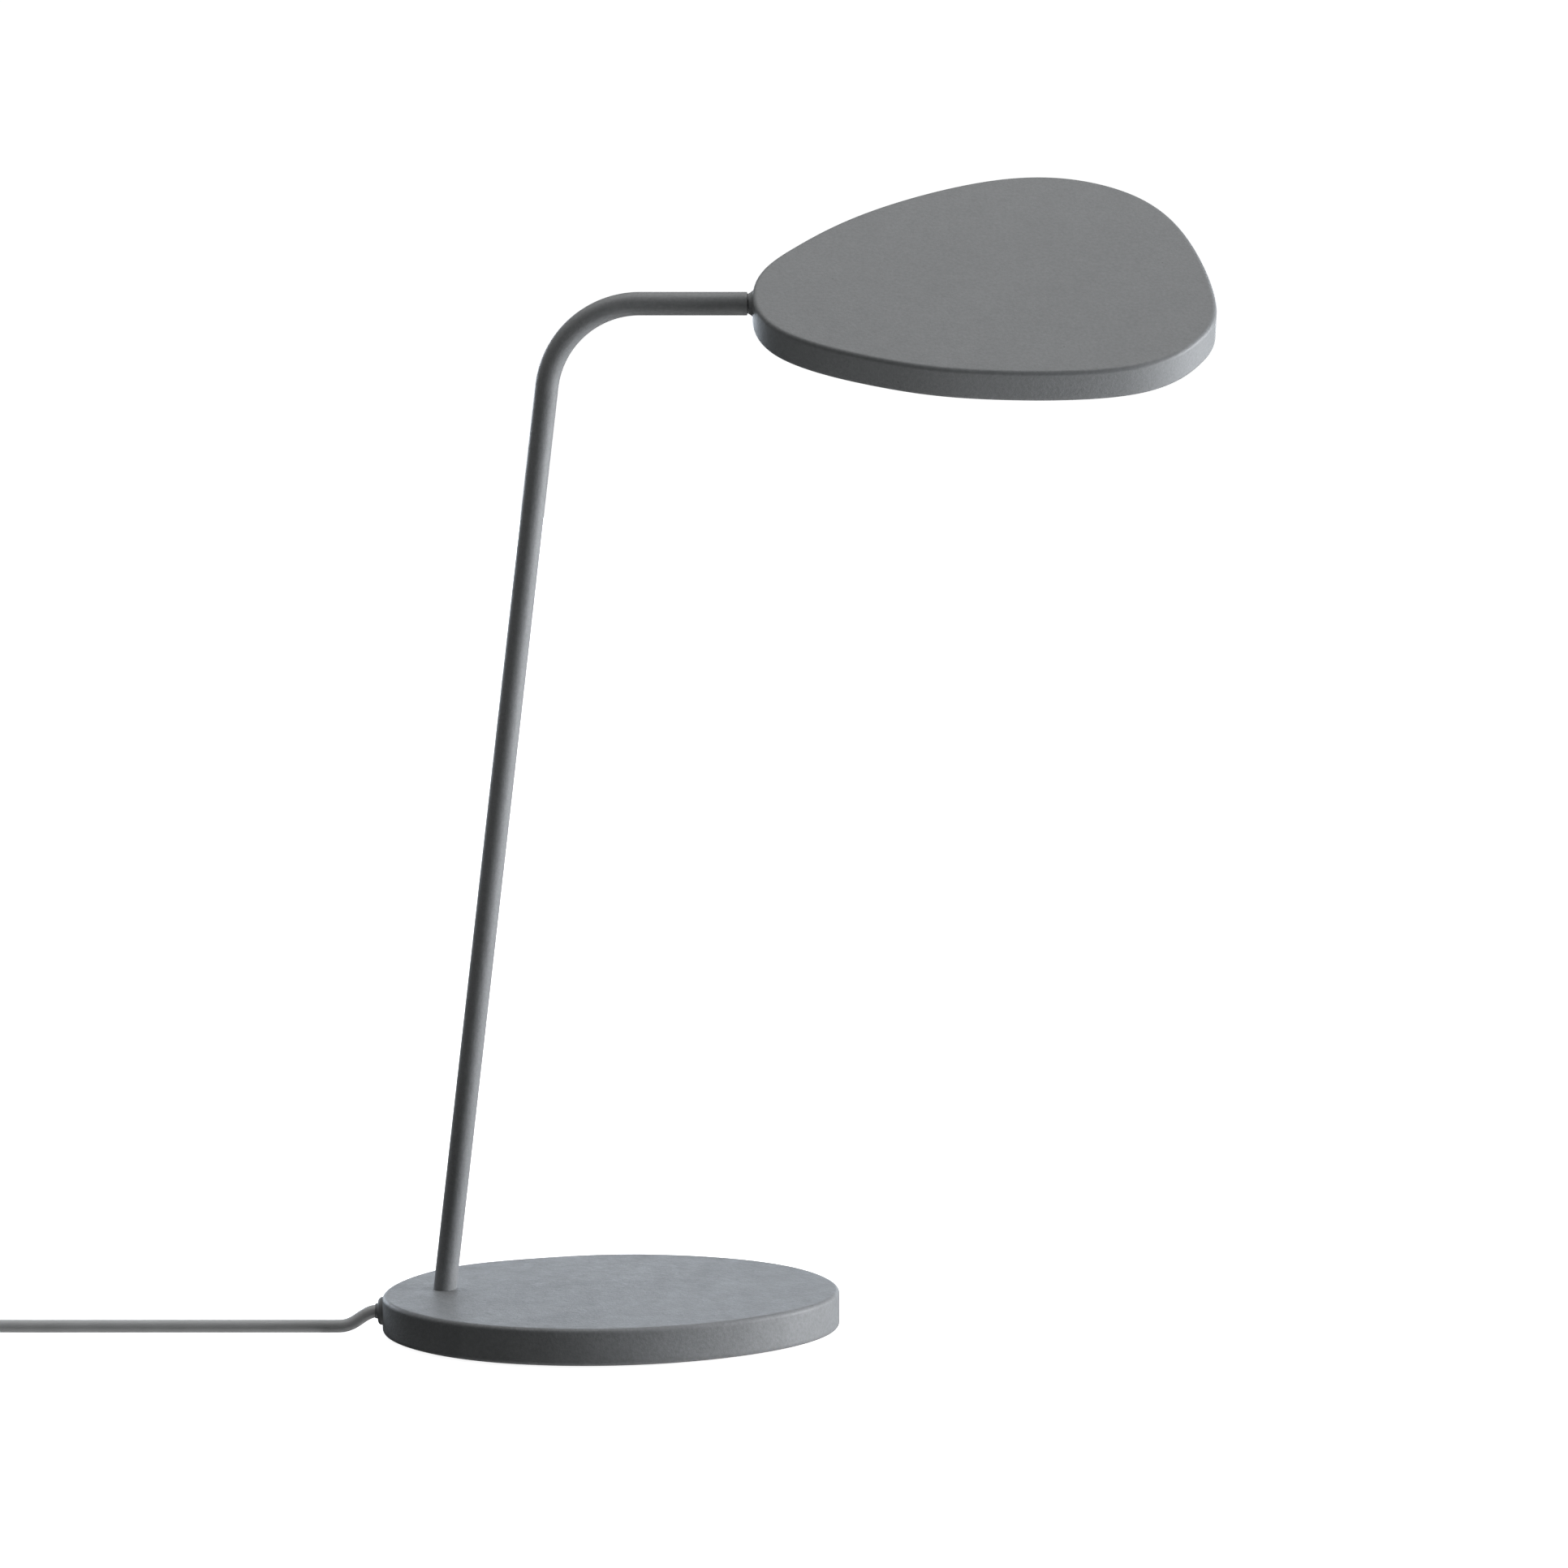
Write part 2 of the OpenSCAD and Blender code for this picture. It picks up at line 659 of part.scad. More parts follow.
module switch_plunger() {
    color(white_plastic) on_head() post(button_at, 1.3, -4, switch_body_low + 0.5);
}

module dimmer_button() {
    color(black_plastic) on_head() {
        post(button_at, 5, lid_top + 0.15, -4);
        post(button_at, 4.2, lid_low - 0.5, lid_top + 0.3);
    }
}

module cord_run() {
    color("gray") difference() {
        swept(smooth_path(cord_route, 2), cord_r, 8, [0, 1, 0]);
        box([outlet_face, outlet_y - 4, outlet_z - 4], [outlet_face + 2, outlet_y + 4, outlet_z + 4]);
    }
}

module cord_tail() {
    color("gray") swept(smooth_path(tail_route, 2), cord_r, 8, [0, 1, 0]);
}

// The wound part of the cord: two layers of five turns each.
coil_height = 2 * cord_d;
module cord_coil() {
    color("gray") translate([each coil_at, coil_low]) difference() {
        cylinder(r = coil_outer, h = coil_height);
        translate([0, 0, -over]) cylinder(r = coil_inner, h = coil_height + 2 * over);
    }
}

module coil_tie() {
    strap_w = 8;
    inner = coil_inner - 0.6;
    color(black_plastic) translate([each coil_at, 0]) rotate([0, 0, 120]) difference() {
        box([inner - coil_low, -strap_w / 2, 0], [coil_outer + 0.9, strap_w / 2, coil_height + 1.7]);
        box([inner, -strap_w, coil_low], [coil_outer + 0.1, strap_w, coil_height + 0.9]);
    }
}

// A box with upright edges rounded, from low to high.
module rounded_box(low, high, r) {
    box([low[0] + r, low[1], low[2]], [high[0] - r, high[1], high[2]]);
    box([low[0], low[1] + r, low[2]], [high[0], high[1] - r, high[2]]);
    for (x = [low[0] + r, high[0] - r], y = [low[1] + r, high[1] - r]) post([x, y], r, low[2], high[2]);
}

adapter_low = [adapter_x - adapter_size[0], adapter_y - adapter_size[1] / 2, 0];
adapter_high = [adapter_x, adapter_y + adapter_size[1] / 2, adapter_size[2]];
adapter_split = adapter_size[2] / 2;
wall_box = [adapter_wall, adapter_wall, adapter_wall];
pin_pitch = 18.6;
pin_r = 2;
pin_length = 19;        // the part of each pin that enters a socket
pin_root_r = 1.6;       // the thinner part that passes through the case's wall
pin_root_length = 6.1;

// The adapter's case without its insides, cut for the cord and for the pins.
module adapter_case() {
    difference() {
        rounded_box(adapter_low, adapter_high, 5);
        rounded_box(adapter_low + wall_box, adapter_high - wall_box, 3);
        translate([adapter_x - 4, adapter_y, adapter_split]) rotate([0, 90, 0]) cylinder(r = 3.3, h = 8);
        for (side = [-1, 1]) translate([adapter_low[0] - 1, adapter_y + side * pin_pitch / 2, adapter_split])
            rotate([0, 90, 0]) cylinder(r = pin_root_r + fine, h = 5);
    }
}

module adapter_body() {
    color(black_plastic) intersection() {
        adapter_case();
        box([adapter_low[0] - 5, -50, -5], [adapter_x + 5, 50, adapter_split - fine]);
    }
}

module adapter_lid() {
    color(black_plastic) intersection() {
        adapter_case();
        box([adapter_low[0] - 5, -50, adapter_split], [adapter_x + 5, 50, adapter_size[2] + 5]);
    }
}

module adapter_board() {
    color(board_green) box([adapter_low[0] + 9, adapter_y - 16, 4], [adapter_x - 7, adapter_y + 16, 5.5]);
    color("goldenrod") box([adapter_x - 28, adapter_y - 10, 5.5], [adapter_x - 12, adapter_y + 10, 18]);
}

module adapter_pins() {
    color(bright_steel) for (side = [-1, 1])
        translate([adapter_low[0] - 0.1, adapter_y + side * pin_pitch / 2, adapter_split])
            rotate([0, 90, 0]) {
                translate([0, 0, -pin_length]) cylinder(r = pin_r, h = pin_length);
                cylinder(r = pin_root_r, h = pin_root_length);
            }
}

module adapter_relief() {
    mouth = tail_route[len(tail_route) - 1][0];
    color(black_plastic) translate([0, adapter_y, adapter_split]) turned_x([
        [mouth, 0], [mouth, 2.7], [adapter_x + fine, 3.8], [adapter_x + fine, 3.25],
        [adapter_x - adapter_wall - fine, 3.25], [adapter_x - adapter_wall - fine, 4.4],
        [adapter_x - adapter_wall - 1.5, 4.4], [adapter_x - adapter_wall - 1.5, 0]
    ]);
}

base_body();
ballast_plate();
ballast_screws();
base_cover();
cover_screws();
foot_pad();
stem_tube();
stem_washer();
stem_nut();
cable_grommet();
cable_clamp();
clamp_screws();
base_lead();
lead_wires();
terminal_blocks();
driver_board();
board_components();
board_screws();
stem_wire();
swivel_spindle();
thrust_washer();
stop_pin();
friction_washer();
wave_washer();
spindle_circlip();
neck_bush();
head_shell();
heat_spreader();
led_board();
led_chips();
led_connector();
spreader_screws();
reflector();
diffuser();
head_cover();
head_cover_screws();
head_wire();
switch_board();
switch_screws();
tact_switch();
switch_plunger();
dimmer_button();
cord_run();
cord_coil();
cord_tail();
coil_tie();
adapter_body();
adapter_lid();
adapter_board();
adapter_pins();
adapter_relief();
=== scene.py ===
"""A slim desk lamp with a leaf-shaped base and head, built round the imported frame."""

import json
from math import cos, hypot, pi, radians, sin, tan

import bmesh
import bpy
from mathutils import Matrix, Vector


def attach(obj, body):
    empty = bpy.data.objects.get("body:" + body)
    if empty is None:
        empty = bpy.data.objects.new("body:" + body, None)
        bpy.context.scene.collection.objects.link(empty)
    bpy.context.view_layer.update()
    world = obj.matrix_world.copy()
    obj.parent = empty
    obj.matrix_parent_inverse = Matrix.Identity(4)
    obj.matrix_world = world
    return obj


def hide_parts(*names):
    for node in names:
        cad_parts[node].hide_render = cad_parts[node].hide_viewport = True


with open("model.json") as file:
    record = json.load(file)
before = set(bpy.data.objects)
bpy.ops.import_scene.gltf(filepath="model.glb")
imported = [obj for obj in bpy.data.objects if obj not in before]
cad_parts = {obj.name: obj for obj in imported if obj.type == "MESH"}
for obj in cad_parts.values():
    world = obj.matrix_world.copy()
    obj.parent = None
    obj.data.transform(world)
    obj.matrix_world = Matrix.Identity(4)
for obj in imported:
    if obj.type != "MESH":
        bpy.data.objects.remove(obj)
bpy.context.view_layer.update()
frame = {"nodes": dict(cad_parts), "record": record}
scene = bpy.context.scene

MM = 0.001

# ---------------------------------------------------------------- dimensions, in millimetres
# Control points of closed uniform cubic splines, seen from above at rest.
BASE_CURVE = [
    (87, 0), (64, 45), (6, 60), (-33, 48), (-64, 36),
    (-87, -11), (-62, -48), (-25, -63), (22, -61), (67, -37),
]  # fmt: skip
HEAD_CURVE = [
    (210, -10), (198, 44), (171, 64), (137, 68), (87, 46), (63, 24),
    (48, 8), (50, -24), (95, -41), (124, -47), (185, -47), (204, -25),
]  # fmt: skip
WINDOW_CURVE = [
    (198, -9), (186, 36), (165, 51), (137, 54), (108, 38), (94, 16),
    (91, -8), (102, -28), (126, -35), (178, -35), (192, -21),
]  # fmt: skip

EDGE_R = 1.5
BASE_LOW, BASE_TOP = 0.5, 13.5
BASE_WALL, BASE_RIM = 5.0, 2.5
BASE_ROOF = 10.5
PAD_T, PAD_INSET = 0.8, 4.0
COVER_TOP = 2.0
COVER_INSET = 2.7

TUBE_R, BORE_R = 4.0, 3.0
FOOT_X = -57.8
LEAN = radians(6.75)
ARM_Z = 357.0
BEND_R = 32.0
ARM_END = 48.0
TUBE_FOOT = -7.9

OUTLET = (-81.3, -7.0, 7.2)
GROMMET_R, GROMMET_SEAT_R = 4.9, 3.25
DOME_R, DOME_T = 3.3, 1.5

HEAD_ROLL = radians(33)
HEAD_HALF = 6.25
HEAD_ROOF = 4.25
HEAD_WALL, HEAD_RIM = 3.6, 2.2
LID_TOP, LID_LOW = -4.75, -5.95
LID_SCREW_INSET = 5.2
LID_SCREWS = (2, 5, 8, 13, 16, 19, 23)  # which of the outline's two points per control span
BUTTON_AT = (76.0, -1.0)
BUTTON_PROUD = 0.5
COLLAR_R, COLLAR_SLEEVE_R, COLLAR_BORE_R = 4.5, 3.75, 2.8
COLLAR_FACE, COLLAR_SHOULDER, COLLAR_END = 48.4, 50.3, 61.6

CORD_D = 4.5
CORD_ROUTE = [
    (-81.3, -7, 7.2), (-82.8, -7, 6.9), (-84.3, -7.2, 6.35), (-85.7, -7.4, 5.6), (-87.1, -7.7, 4.7),
    (-88.6, -8, 3.75), (-90.2, -8.3, 2.95), (-91.9, -8.6, 2.45), (-93.8, -8.8, 2.25), (-96, -8.95, 2.25),
    (-100, -9, 2.25), (-106, -9, 2.25),
    (-124, -9, 2.25), (-144, -9, 2.25), (-164, -9, 2.25), (-184, -9, 2.25), (-204, -9, 2.25),
    (-222, -9, 2.4), (-236, -9, 2.8), (-244, -9, 3),
]  # fmt: skip
TAIL_ROUTE = [
    (-260, -9, 7.55), (-264, -9, 7.9), (-268, -9, 8.9), (-272, -9, 10.5), (-276, -9, 12.1),
    (-280, -9, 13.2), (-283, -9, 13.5), (-285, -9, 13.5),
]  # fmt: skip
COIL_AT = (-256.0, 25.5)
COIL_LOW = 0.8
COIL_R = 34.5
TURNS_PER_LAYER = 5
TIE_ANGLE = radians(120)
TIE_W = 8.0

ADAPTER_X, ADAPTER_Y = -300.0, -9.0
ADAPTER_SIZE = (46.0, 40.0, 27.0)
ADAPTER_SPLIT = 13.5
ADAPTER_WALL, ADAPTER_CORNER, ADAPTER_EDGE = 2.0, 5.0, 2.0
PIN_PITCH, PIN_R, PIN_ROOT_R, PIN_LENGTH = 18.6, 2.0, 1.6, 19.0
PIN_SLEEVE = 9.0

# ---------------------------------------------------------------- view and studio, in metres
CAMERA_AT = (0.0605, -2.1547, 0.5135)
LOOKS_DOWN = radians(8.5)
LENS, SENSOR = 145.12, 36

COOL_SKY = (0.82, 0.9, 1.0)
COOL_WINDOW = (0.955, 0.972, 1.0)
AREA_LIGHTS = [
    # name, place, aimed at, size, watts, colour
    ("top", (0, 0.2, 1.6), (0.05, 0, 0.2), (1.6, 1.2), 17, (1, 1, 1)),
    ("key_side", (1.3, -0.04, 0.24), (0.05, 0, 0.2), (0.8, 0.6), 25.5, COOL_WINDOW),
    ("key_front", (1.3, -0.35, 0.24), (0.05, 0, 0.2), (0.8, 0.6), 4, COOL_WINDOW),
    ("front", (0, -2.4, 0.9), (0.05, 0, 0.2), (1.6, 1.2), 3, (1, 1, 1)),
    ("left", (-1.5, 0.3, 0.45), (-0.05, 0, 0.2), (0.8, 1.0), 1, (1, 1, 1)),
    ("back_left", (-0.75, 0.9, 0.3), (-0.1, 0, 0.02), (0.7, 0.4), 4.5, COOL_SKY),
    ("backdrop", (-0.4, 2.6, 0.35), (-0.1, 0, 0.1), (3.2, 0.7), 43, COOL_SKY),
    ("bounce", (0.35, -0.1, -0.9), (0.05, 0, 0.2), (2.0, 1.4), 10, (1, 1, 1)),
]
ROOM_COLOUR, ROOM_STRENGTH = (0.95, 0.98, 1, 1), 0.045
FLOOR_SIZE = 80
FLOOR_NEAR, FLOOR_FAR = 0.4, 1.2
GLOW_NEAR, GLOW_FAR = 0.88, 1.0
WHITE = (1, 1, 1, 1)


# ---------------------------------------------------------------- camera
def add_camera():
    """The photograph's viewpoint: a little above the head, looking slightly down."""
    data = bpy.data.cameras.new("view")
    data.sensor_width = SENSOR
    data.lens = LENS
    data.clip_end = 200
    camera = bpy.data.objects.new("view", data)
    camera.location = CAMERA_AT
    camera.rotation_euler = (pi / 2 - LOOKS_DOWN, 0, 0)
    scene.collection.objects.link(camera)
    scene.camera = camera


# ---------------------------------------------------------------- shapes in the plane
def spline(control, inset=0.0, steps=20):
    """Points of the closed uniform cubic spline round control, moved inwards by inset."""
    points = []
    for i in range(len(control)):
        near = [control[(i + k) % len(control)] for k in range(4)]
        for s in range(steps):
            t = s / steps
            weight = ((1 - t) ** 3, 3 * t**3 - 6 * t * t + 4, -3 * t**3 + 3 * t * t + 3 * t + 1, t**3)
            slope = (-((1 - t) ** 2), 3 * t * t - 4 * t, -3 * t * t + 2 * t + 1, t * t)
            x, y = (sum(w * c[k] for w, c in zip(weight, near)) / 6 for k in (0, 1))
            dx, dy = (sum(w * c[k] for w, c in zip(slope, near)) / 2 for k in (0, 1))
            size = hypot(dx, dy)
            points.append((x - inset * dy / size, y + inset * dx / size))
    return points


def circle(centre, radius, steps=48):
    turn = [2 * pi * k / steps for k in range(steps)]
    return [(centre[0] + radius * cos(a), centre[1] + radius * sin(a)) for a in turn]


def lobed(centre, radius, lobe, lobes=6, steps=36):
    """Points round a circle whose radius swells by lobe a few times."""
    points = []
    for k in range(steps):
        a = 2 * pi * k / steps
        r = radius + lobe * cos(lobes * a)
        points.append((centre[0] + r * cos(a), centre[1] + r * sin(a)))
    return points


def rounded_rectangle(low, high, radius, inset=0.0, steps=8):
    """Points round a rectangle with rounded corners, moved inwards by inset."""
    r = radius - inset
    corners = [
        (high[0] - radius, high[1] - radius, 0), (low[0] + radius, high[1] - radius, 1),
        (low[0] + radius, low[1] + radius, 2), (high[0] - radius, low[1] + radius, 3),
    ]  # fmt: skip
    return [
        (x + r * cos(pi / 2 * (quarter + k / steps)), y + r * sin(pi / 2 * (quarter + k / steps)))
        for x, y, quarter in corners
        for k in range(steps + 1)
    ]


def fillet(radius, start, end, centre, steps=6):
    """(inset, level) pairs on an arc about centre, from the start angle to the end angle in degrees."""
    return [
        (centre[0] + radius * cos(radians(start + (end - start) * k / steps)),
         centre[1] + radius * sin(radians(start + (end - start) * k / steps)))
        for k in range(steps + 1)
    ]  # fmt: skip


# ---------------------------------------------------------------- meshes
class Skin:
    """A closed mesh, made from rings of points with bands of faces between them."""

    def __init__(self):
        self.bm = bmesh.new()

    def ring(self, points, level=None):
        """Vertices at these points, or at these flat points on a level."""
        if level is None:
            return [self.bm.verts.new(p) for p in points]
        return [self.bm.verts.new((p[0], p[1], level)) for p in points]

    def walls(self, rings, material=0):
        """Bands of faces from each ring to the next."""
        for a, b in zip(rings, rings[1:]):
            for k in range(len(a)):
                n = (k + 1) % len(a)
                self.bm.faces.new((a[k], a[n], b[n], b[k])).material_index = material

    def cap(self, *loops, material=0):
        """Flat faces inside the first loop and outside the others."""
        edges = []
        for loop in loops:
            for k in range(len(loop)):
                pair = (loop[k], loop[(k + 1) % len(loop)])
                edges.append(self.bm.edges.get(pair) or self.bm.edges.new(pair))
        made = bmesh.ops.triangle_fill(self.bm, use_beauty=True, use_dissolve=False, edges=edges)
        for item in made["geom"]:
            if isinstance(item, bmesh.types.BMFace):
                item.material_index = material

    def slab(self, curve, levels):
        """A closed shape whose outline is curve, moved inwards by each (inset, level)."""
        rings = [self.ring(spline(curve, inset), level) for inset, level in levels]
        self.walls(rings)
        self.cap(rings[0])
        self.cap(rings[-1])

    def lathe(self, profile, steps=64, axis="X", at=(0, 0, 0), closed=False, material=0):
        """Turns (along, radius) points about an axis through at.

        The ends are capped, or joined to each other where the profile is closed.
        """
        rings = []
        for along, radius in profile:
            turn = circle((0, 0), radius, steps)
            if axis == "X":
                rings.append(self.ring([(at[0] + along, at[1] + u, at[2] + v) for u, v in turn]))
            else:
                rings.append(self.ring([(at[0] + u, at[1] + v, at[2] + along) for u, v in turn]))
        if closed:
            rings.append(rings[0])
        self.walls(rings, material)
        if not closed:
            for end in (rings[0], rings[-1]):
                self.bm.faces.new(end).material_index = material

    def to_object(self, name, place=Matrix()):
        """The finished mesh as an object, moved to its place and scaled to metres."""
        bmesh.ops.recalc_face_normals(self.bm, faces=self.bm.faces)
        bmesh.ops.transform(self.bm, matrix=place, verts=self.bm.verts)
        bmesh.ops.scale(self.bm, vec=(MM, MM, MM), verts=self.bm.verts)
        mesh = bpy.data.meshes.new(name)
        self.bm.to_mesh(mesh)
        self.bm.free()
        obj = bpy.data.objects.new(name, mesh)
        scene.collection.objects.link(obj)
        return obj

    def piece(self, name, body, node, slot, place=Matrix(), tools=(), materials=None):
        """Makes the object and gives it to a body in place of a CAD node.

        Its material is the one named like its slot, unless others are given.
        """
        obj = self.to_object(name, place)
        for material in materials or [slot]:
            obj.data.materials.append(MATERIALS[material])
        for tool in tools:
            cut(obj, tool)
        smooth(obj)
        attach(obj, body)
        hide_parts(node)
        return obj


def cut(obj, tool):
    """Takes the tool's shape out of obj and deletes the tool."""
    modifier = obj.modifiers.new("cut", "BOOLEAN")
    modifier.operation = "DIFFERENCE"
    modifier.solver = "EXACT"
    modifier.object = tool
    graph = bpy.context.evaluated_depsgraph_get()
    mesh = bpy.data.meshes.new_from_object(obj.evaluated_get(graph))
    obj.modifiers.clear()
    obj.data = mesh
    bpy.data.objects.remove(tool)


def cutter(profile, place=Matrix(), axis="X", at=(0, 0, 0), steps=96):
    """A turned solid to cut with."""
    skin = Skin()
    skin.lathe(profile, steps, axis, at)
    return skin.to_object("cutter", place)


def smooth(obj, crease=35):
    """Smooth shading that keeps real edges and leaves flat faces flat."""
    obj.data.shade_smooth()
    obj.data.set_sharp_from_angle(angle=radians(crease))
    weighted = obj.modifiers.new("even_normals", "WEIGHTED_NORMAL")
    weighted.keep_sharp = True


HEAD_PLACE = Matrix.Translation((0, 0, ARM_Z)) @ Matrix.Rotation(HEAD_ROLL, 4, "X")
STEM_PLACE = Matrix.Translation((FOOT_X, 0, BASE_TOP)) @ Matrix.Rotation(LEAN, 4, "Y")


# ---------------------------------------------------------------- materials
class Paint:
    """Builds a node material round one Principled shader."""

    def __init__(self, name, colour, roughness, metallic=0.0, specular=0.5):
        self.material = bpy.data.materials.new(name)
        self.material.use_nodes = True
        self.nodes = self.material.node_tree.nodes
        self.links = self.material.node_tree.links
        self.shader = self.nodes["Principled BSDF"]
        self.shader.inputs["Base Color"].default_value = (*colour, 1)
        self.shader.inputs["Roughness"].default_value = roughness
        self.shader.inputs["Metallic"].default_value = metallic
        self.shader.inputs["Specular IOR Level"].default_value = specular
        self.colour, self.roughness = colour, roughness
        self.coords = self.nodes.new("ShaderNodeTexCoord").outputs["Object"]
        self.normal = None

    def stretch(self, scale):
        """Texture coordinates stretched along the axes, for brushed or drawn marks."""
        mapping = self.nodes.new("ShaderNodeMapping")
        mapping.inputs["Scale"].default_value = scale
        self.links.new(self.coords, mapping.inputs["Vector"])
        return mapping.outputs["Vector"]

    def noise(self, size_mm, detail=2.0, rough=0.5, coords=None):
        """Noise with features of about this size."""
        node = self.nodes.new("ShaderNodeTexNoise")
        node.inputs["Scale"].default_value = 1 / (size_mm * MM)
        node.inputs["Detail"].default_value = detail
        node.inputs["Roughness"].default_value = rough
        self.links.new(coords or self.coords, node.inputs["Vector"])
        return node.outputs["Fac"]

    def spread(self, value, low, high, start=0.3, end=0.7):
        """From low to high as value goes from start to end."""
        node = self.nodes.new("ShaderNodeMapRange")
        node.inputs["From Min"].default_value = start
        node.inputs["From Max"].default_value = end
        node.inputs["To Min"].default_value = low
        node.inputs["To Max"].default_value = high
        self.links.new(value, node.inputs["Value"])
        return node.outputs["Result"]

    def vary_colour(self, value, darker, lighter, start=0.3, end=0.7):
        """The base colour, scaled from darker to lighter as value goes from start to end."""
        ramp = self.nodes.new("ShaderNodeValToRGB")
        ramp.color_ramp.elements[0].position = start
        ramp.color_ramp.elements[1].position = end
        ramp.color_ramp.elements[0].color = (*[c * darker for c in self.colour], 1)
        ramp.color_ramp.elements[1].color = (*[min(1, c * lighter) for c in self.colour], 1)
        self.links.new(value, ramp.inputs["Fac"])
        self.links.new(ramp.outputs["Color"], self.shader.inputs["Base Color"])
        return ramp

    def multiply_colour(self, value):
        """Darkens or lightens the base colour set so far by value."""
        mix = self.nodes.new("ShaderNodeMix")
        mix.data_type = "RGBA"
        mix.blend_type = "MULTIPLY"
        mix.inputs["Factor"].default_value = 1
        self.links.new(self.shader.inputs["Base Color"].links[0].from_socket, mix.inputs["A"])
        self.links.new(value, mix.inputs["B"])
        self.links.new(mix.outputs["Result"], self.shader.inputs["Base Color"])

    def specks(self, spacing_mm, size, share, dark):
        """One, but dark inside round specks, which a share of the cells of this spacing hold."""
        cells = self.nodes.new("ShaderNodeTexVoronoi")
        cells.inputs["Scale"].default_value = 1 / (spacing_mm * MM)
        self.links.new(self.coords, cells.inputs["Vector"])
        chance = self.nodes.new("ShaderNodeSeparateColor")
        self.links.new(cells.outputs["Color"], chance.inputs["Color"])
        empty = self.spread(chance.outputs["Red"], 0, 1, share, share + 0.01)
        spot = self.spread(cells.outputs["Distance"], dark, 1, size * 0.6, size)
        most = self.nodes.new("ShaderNodeMath")
        most.operation = "MAXIMUM"
        self.links.new(empty, most.inputs[0])
        self.links.new(spot, most.inputs[1])
        return most.outputs["Value"]

    def vary_roughness(self, value, by):
        """Roughness up to this much either side of the material's own."""
        result = self.spread(value, self.roughness - by, self.roughness + by)
        self.links.new(result, self.shader.inputs["Roughness"])

    def bump(self, value, height_mm, strength=1.0):
        """Relief of about this height; each call adds to the last."""
        node = self.nodes.new("ShaderNodeBump")
        node.inputs["Strength"].default_value = strength
        node.inputs["Distance"].default_value = height_mm * MM
        self.links.new(value, node.inputs["Height"])
        if self.normal:
            self.links.new(self.normal, node.inputs["Normal"])
        self.normal = node.outputs["Normal"]
        self.links.new(self.normal, self.shader.inputs["Normal"])


def powder_coat(name, colour, patches, grit, gloss, specks):
    """Matt powder coat: an orange-peel skin over fine grain, and a few dark specks.

    patches and grit are how far the tone varies over wide and fine areas, gloss is how far
    the roughness varies, and specks is the share of 7 mm cells that hold a speck.
    """
    paint = Paint(name, colour, 0.58, specular=0.45)
    grain = paint.noise(1.1, 3, 0.7)
    peel = paint.noise(2.6, 1, 0.4)
    cloud = paint.noise(24, 4, 0.6)
    paint.vary_colour(cloud, 1 - patches, 1 + patches)
    paint.multiply_colour(paint.spread(grain, 1 - grit, 1 + grit))
    paint.multiply_colour(paint.specks(7, 0.05, specks, 0.6))
    paint.vary_roughness(paint.noise(5, 4, 0.7), gloss)
    paint.bump(peel, 0.12, 0.5)
    paint.bump(grain, 0.12, 0.85)
    return paint.material


def moulded(name, colour, roughness=0.45, grain_mm=0.35, relief=0.02, specular=0.5):
    """Moulded plastic or rubber with a fine etched texture."""
    paint = Paint(name, colour, roughness, specular=specular)
    grain = paint.noise(grain_mm, 2, 0.6)
    cloud = paint.noise(14, 2)
    paint.vary_colour(cloud, 0.94, 1.06)
    paint.vary_roughness(cloud, 0.05)
    paint.bump(grain, relief, 0.8)
    return paint.material


def jacket(name, colour):
    """Soft satin cord jacket, a little translucent, with the waviness of its cores beneath."""
    paint = Paint(name, colour, 0.5, specular=0.35)
    paint.shader.inputs["Subsurface Weight"].default_value = 0.6
    paint.shader.inputs["Subsurface Radius"].default_value = (1, 1, 1)
    paint.shader.inputs["Subsurface Scale"].default_value = 2 * MM
    grain = paint.noise(0.5, 2, 0.6)
    wave = paint.noise(9, 2)
    paint.vary_colour(wave, 0.96, 1.04)
    paint.vary_roughness(wave, 0.04)
    paint.bump(wave, 0.12, 0.4)
    paint.bump(grain, 0.02, 0.6)
    return paint.material


def metal(name, colour, roughness=0.3, stretch=(1, 1, 1), relief=0.01):
    """Plain metal with drawn or tumbled marks and uneven gloss."""
    paint = Paint(name, colour, roughness, metallic=1.0)
    marks = paint.noise(1.2, 3, 0.6, paint.stretch(stretch))
    cloud = paint.noise(9, 2)
    paint.vary_colour(cloud, 0.9, 1.05)
    paint.vary_roughness(marks, 0.08)
    paint.bump(marks, relief, 0.5)
    return paint.material


def circuit_board(name, colour):
    """Solder resist with the faint raised lines of the copper beneath it."""
    paint = Paint(name, colour, 0.35)
    tracks = paint.nodes.new("ShaderNodeTexBrick")
    tracks.inputs["Scale"].default_value = 1 / (4 * MM)
    tracks.inputs["Mortar Size"].default_value = 0.03
    paint.links.new(paint.coords, tracks.inputs["Vector"])
    cloud = paint.noise(2, 3)
    paint.vary_colour(cloud, 0.85, 1.15)
    paint.bump(tracks.outputs["Fac"], 0.03, 0.5)
    return paint.material


def woven(name, colour):
    """Closely woven strap with a fibrous, fluffy face."""
    paint = Paint(name, colour, 0.9, specular=0.2)
    paint.shader.inputs["Sheen Weight"].default_value = 0.4
    paint.shader.inputs["Sheen Roughness"].default_value = 0.5
    fibre = paint.noise(0.25, 3, 0.7)
    weave = paint.nodes.new("ShaderNodeTexVoronoi")
    weave.inputs["Scale"].default_value = 1 / (0.6 * MM)
    paint.links.new(paint.coords, weave.inputs["Vector"])
    paint.vary_colour(fibre, 0.6, 1.5)
    paint.bump(weave.outputs["Distance"], 0.15, 0.8)
    paint.bump(fibre, 0.08, 0.8)
    return paint.material


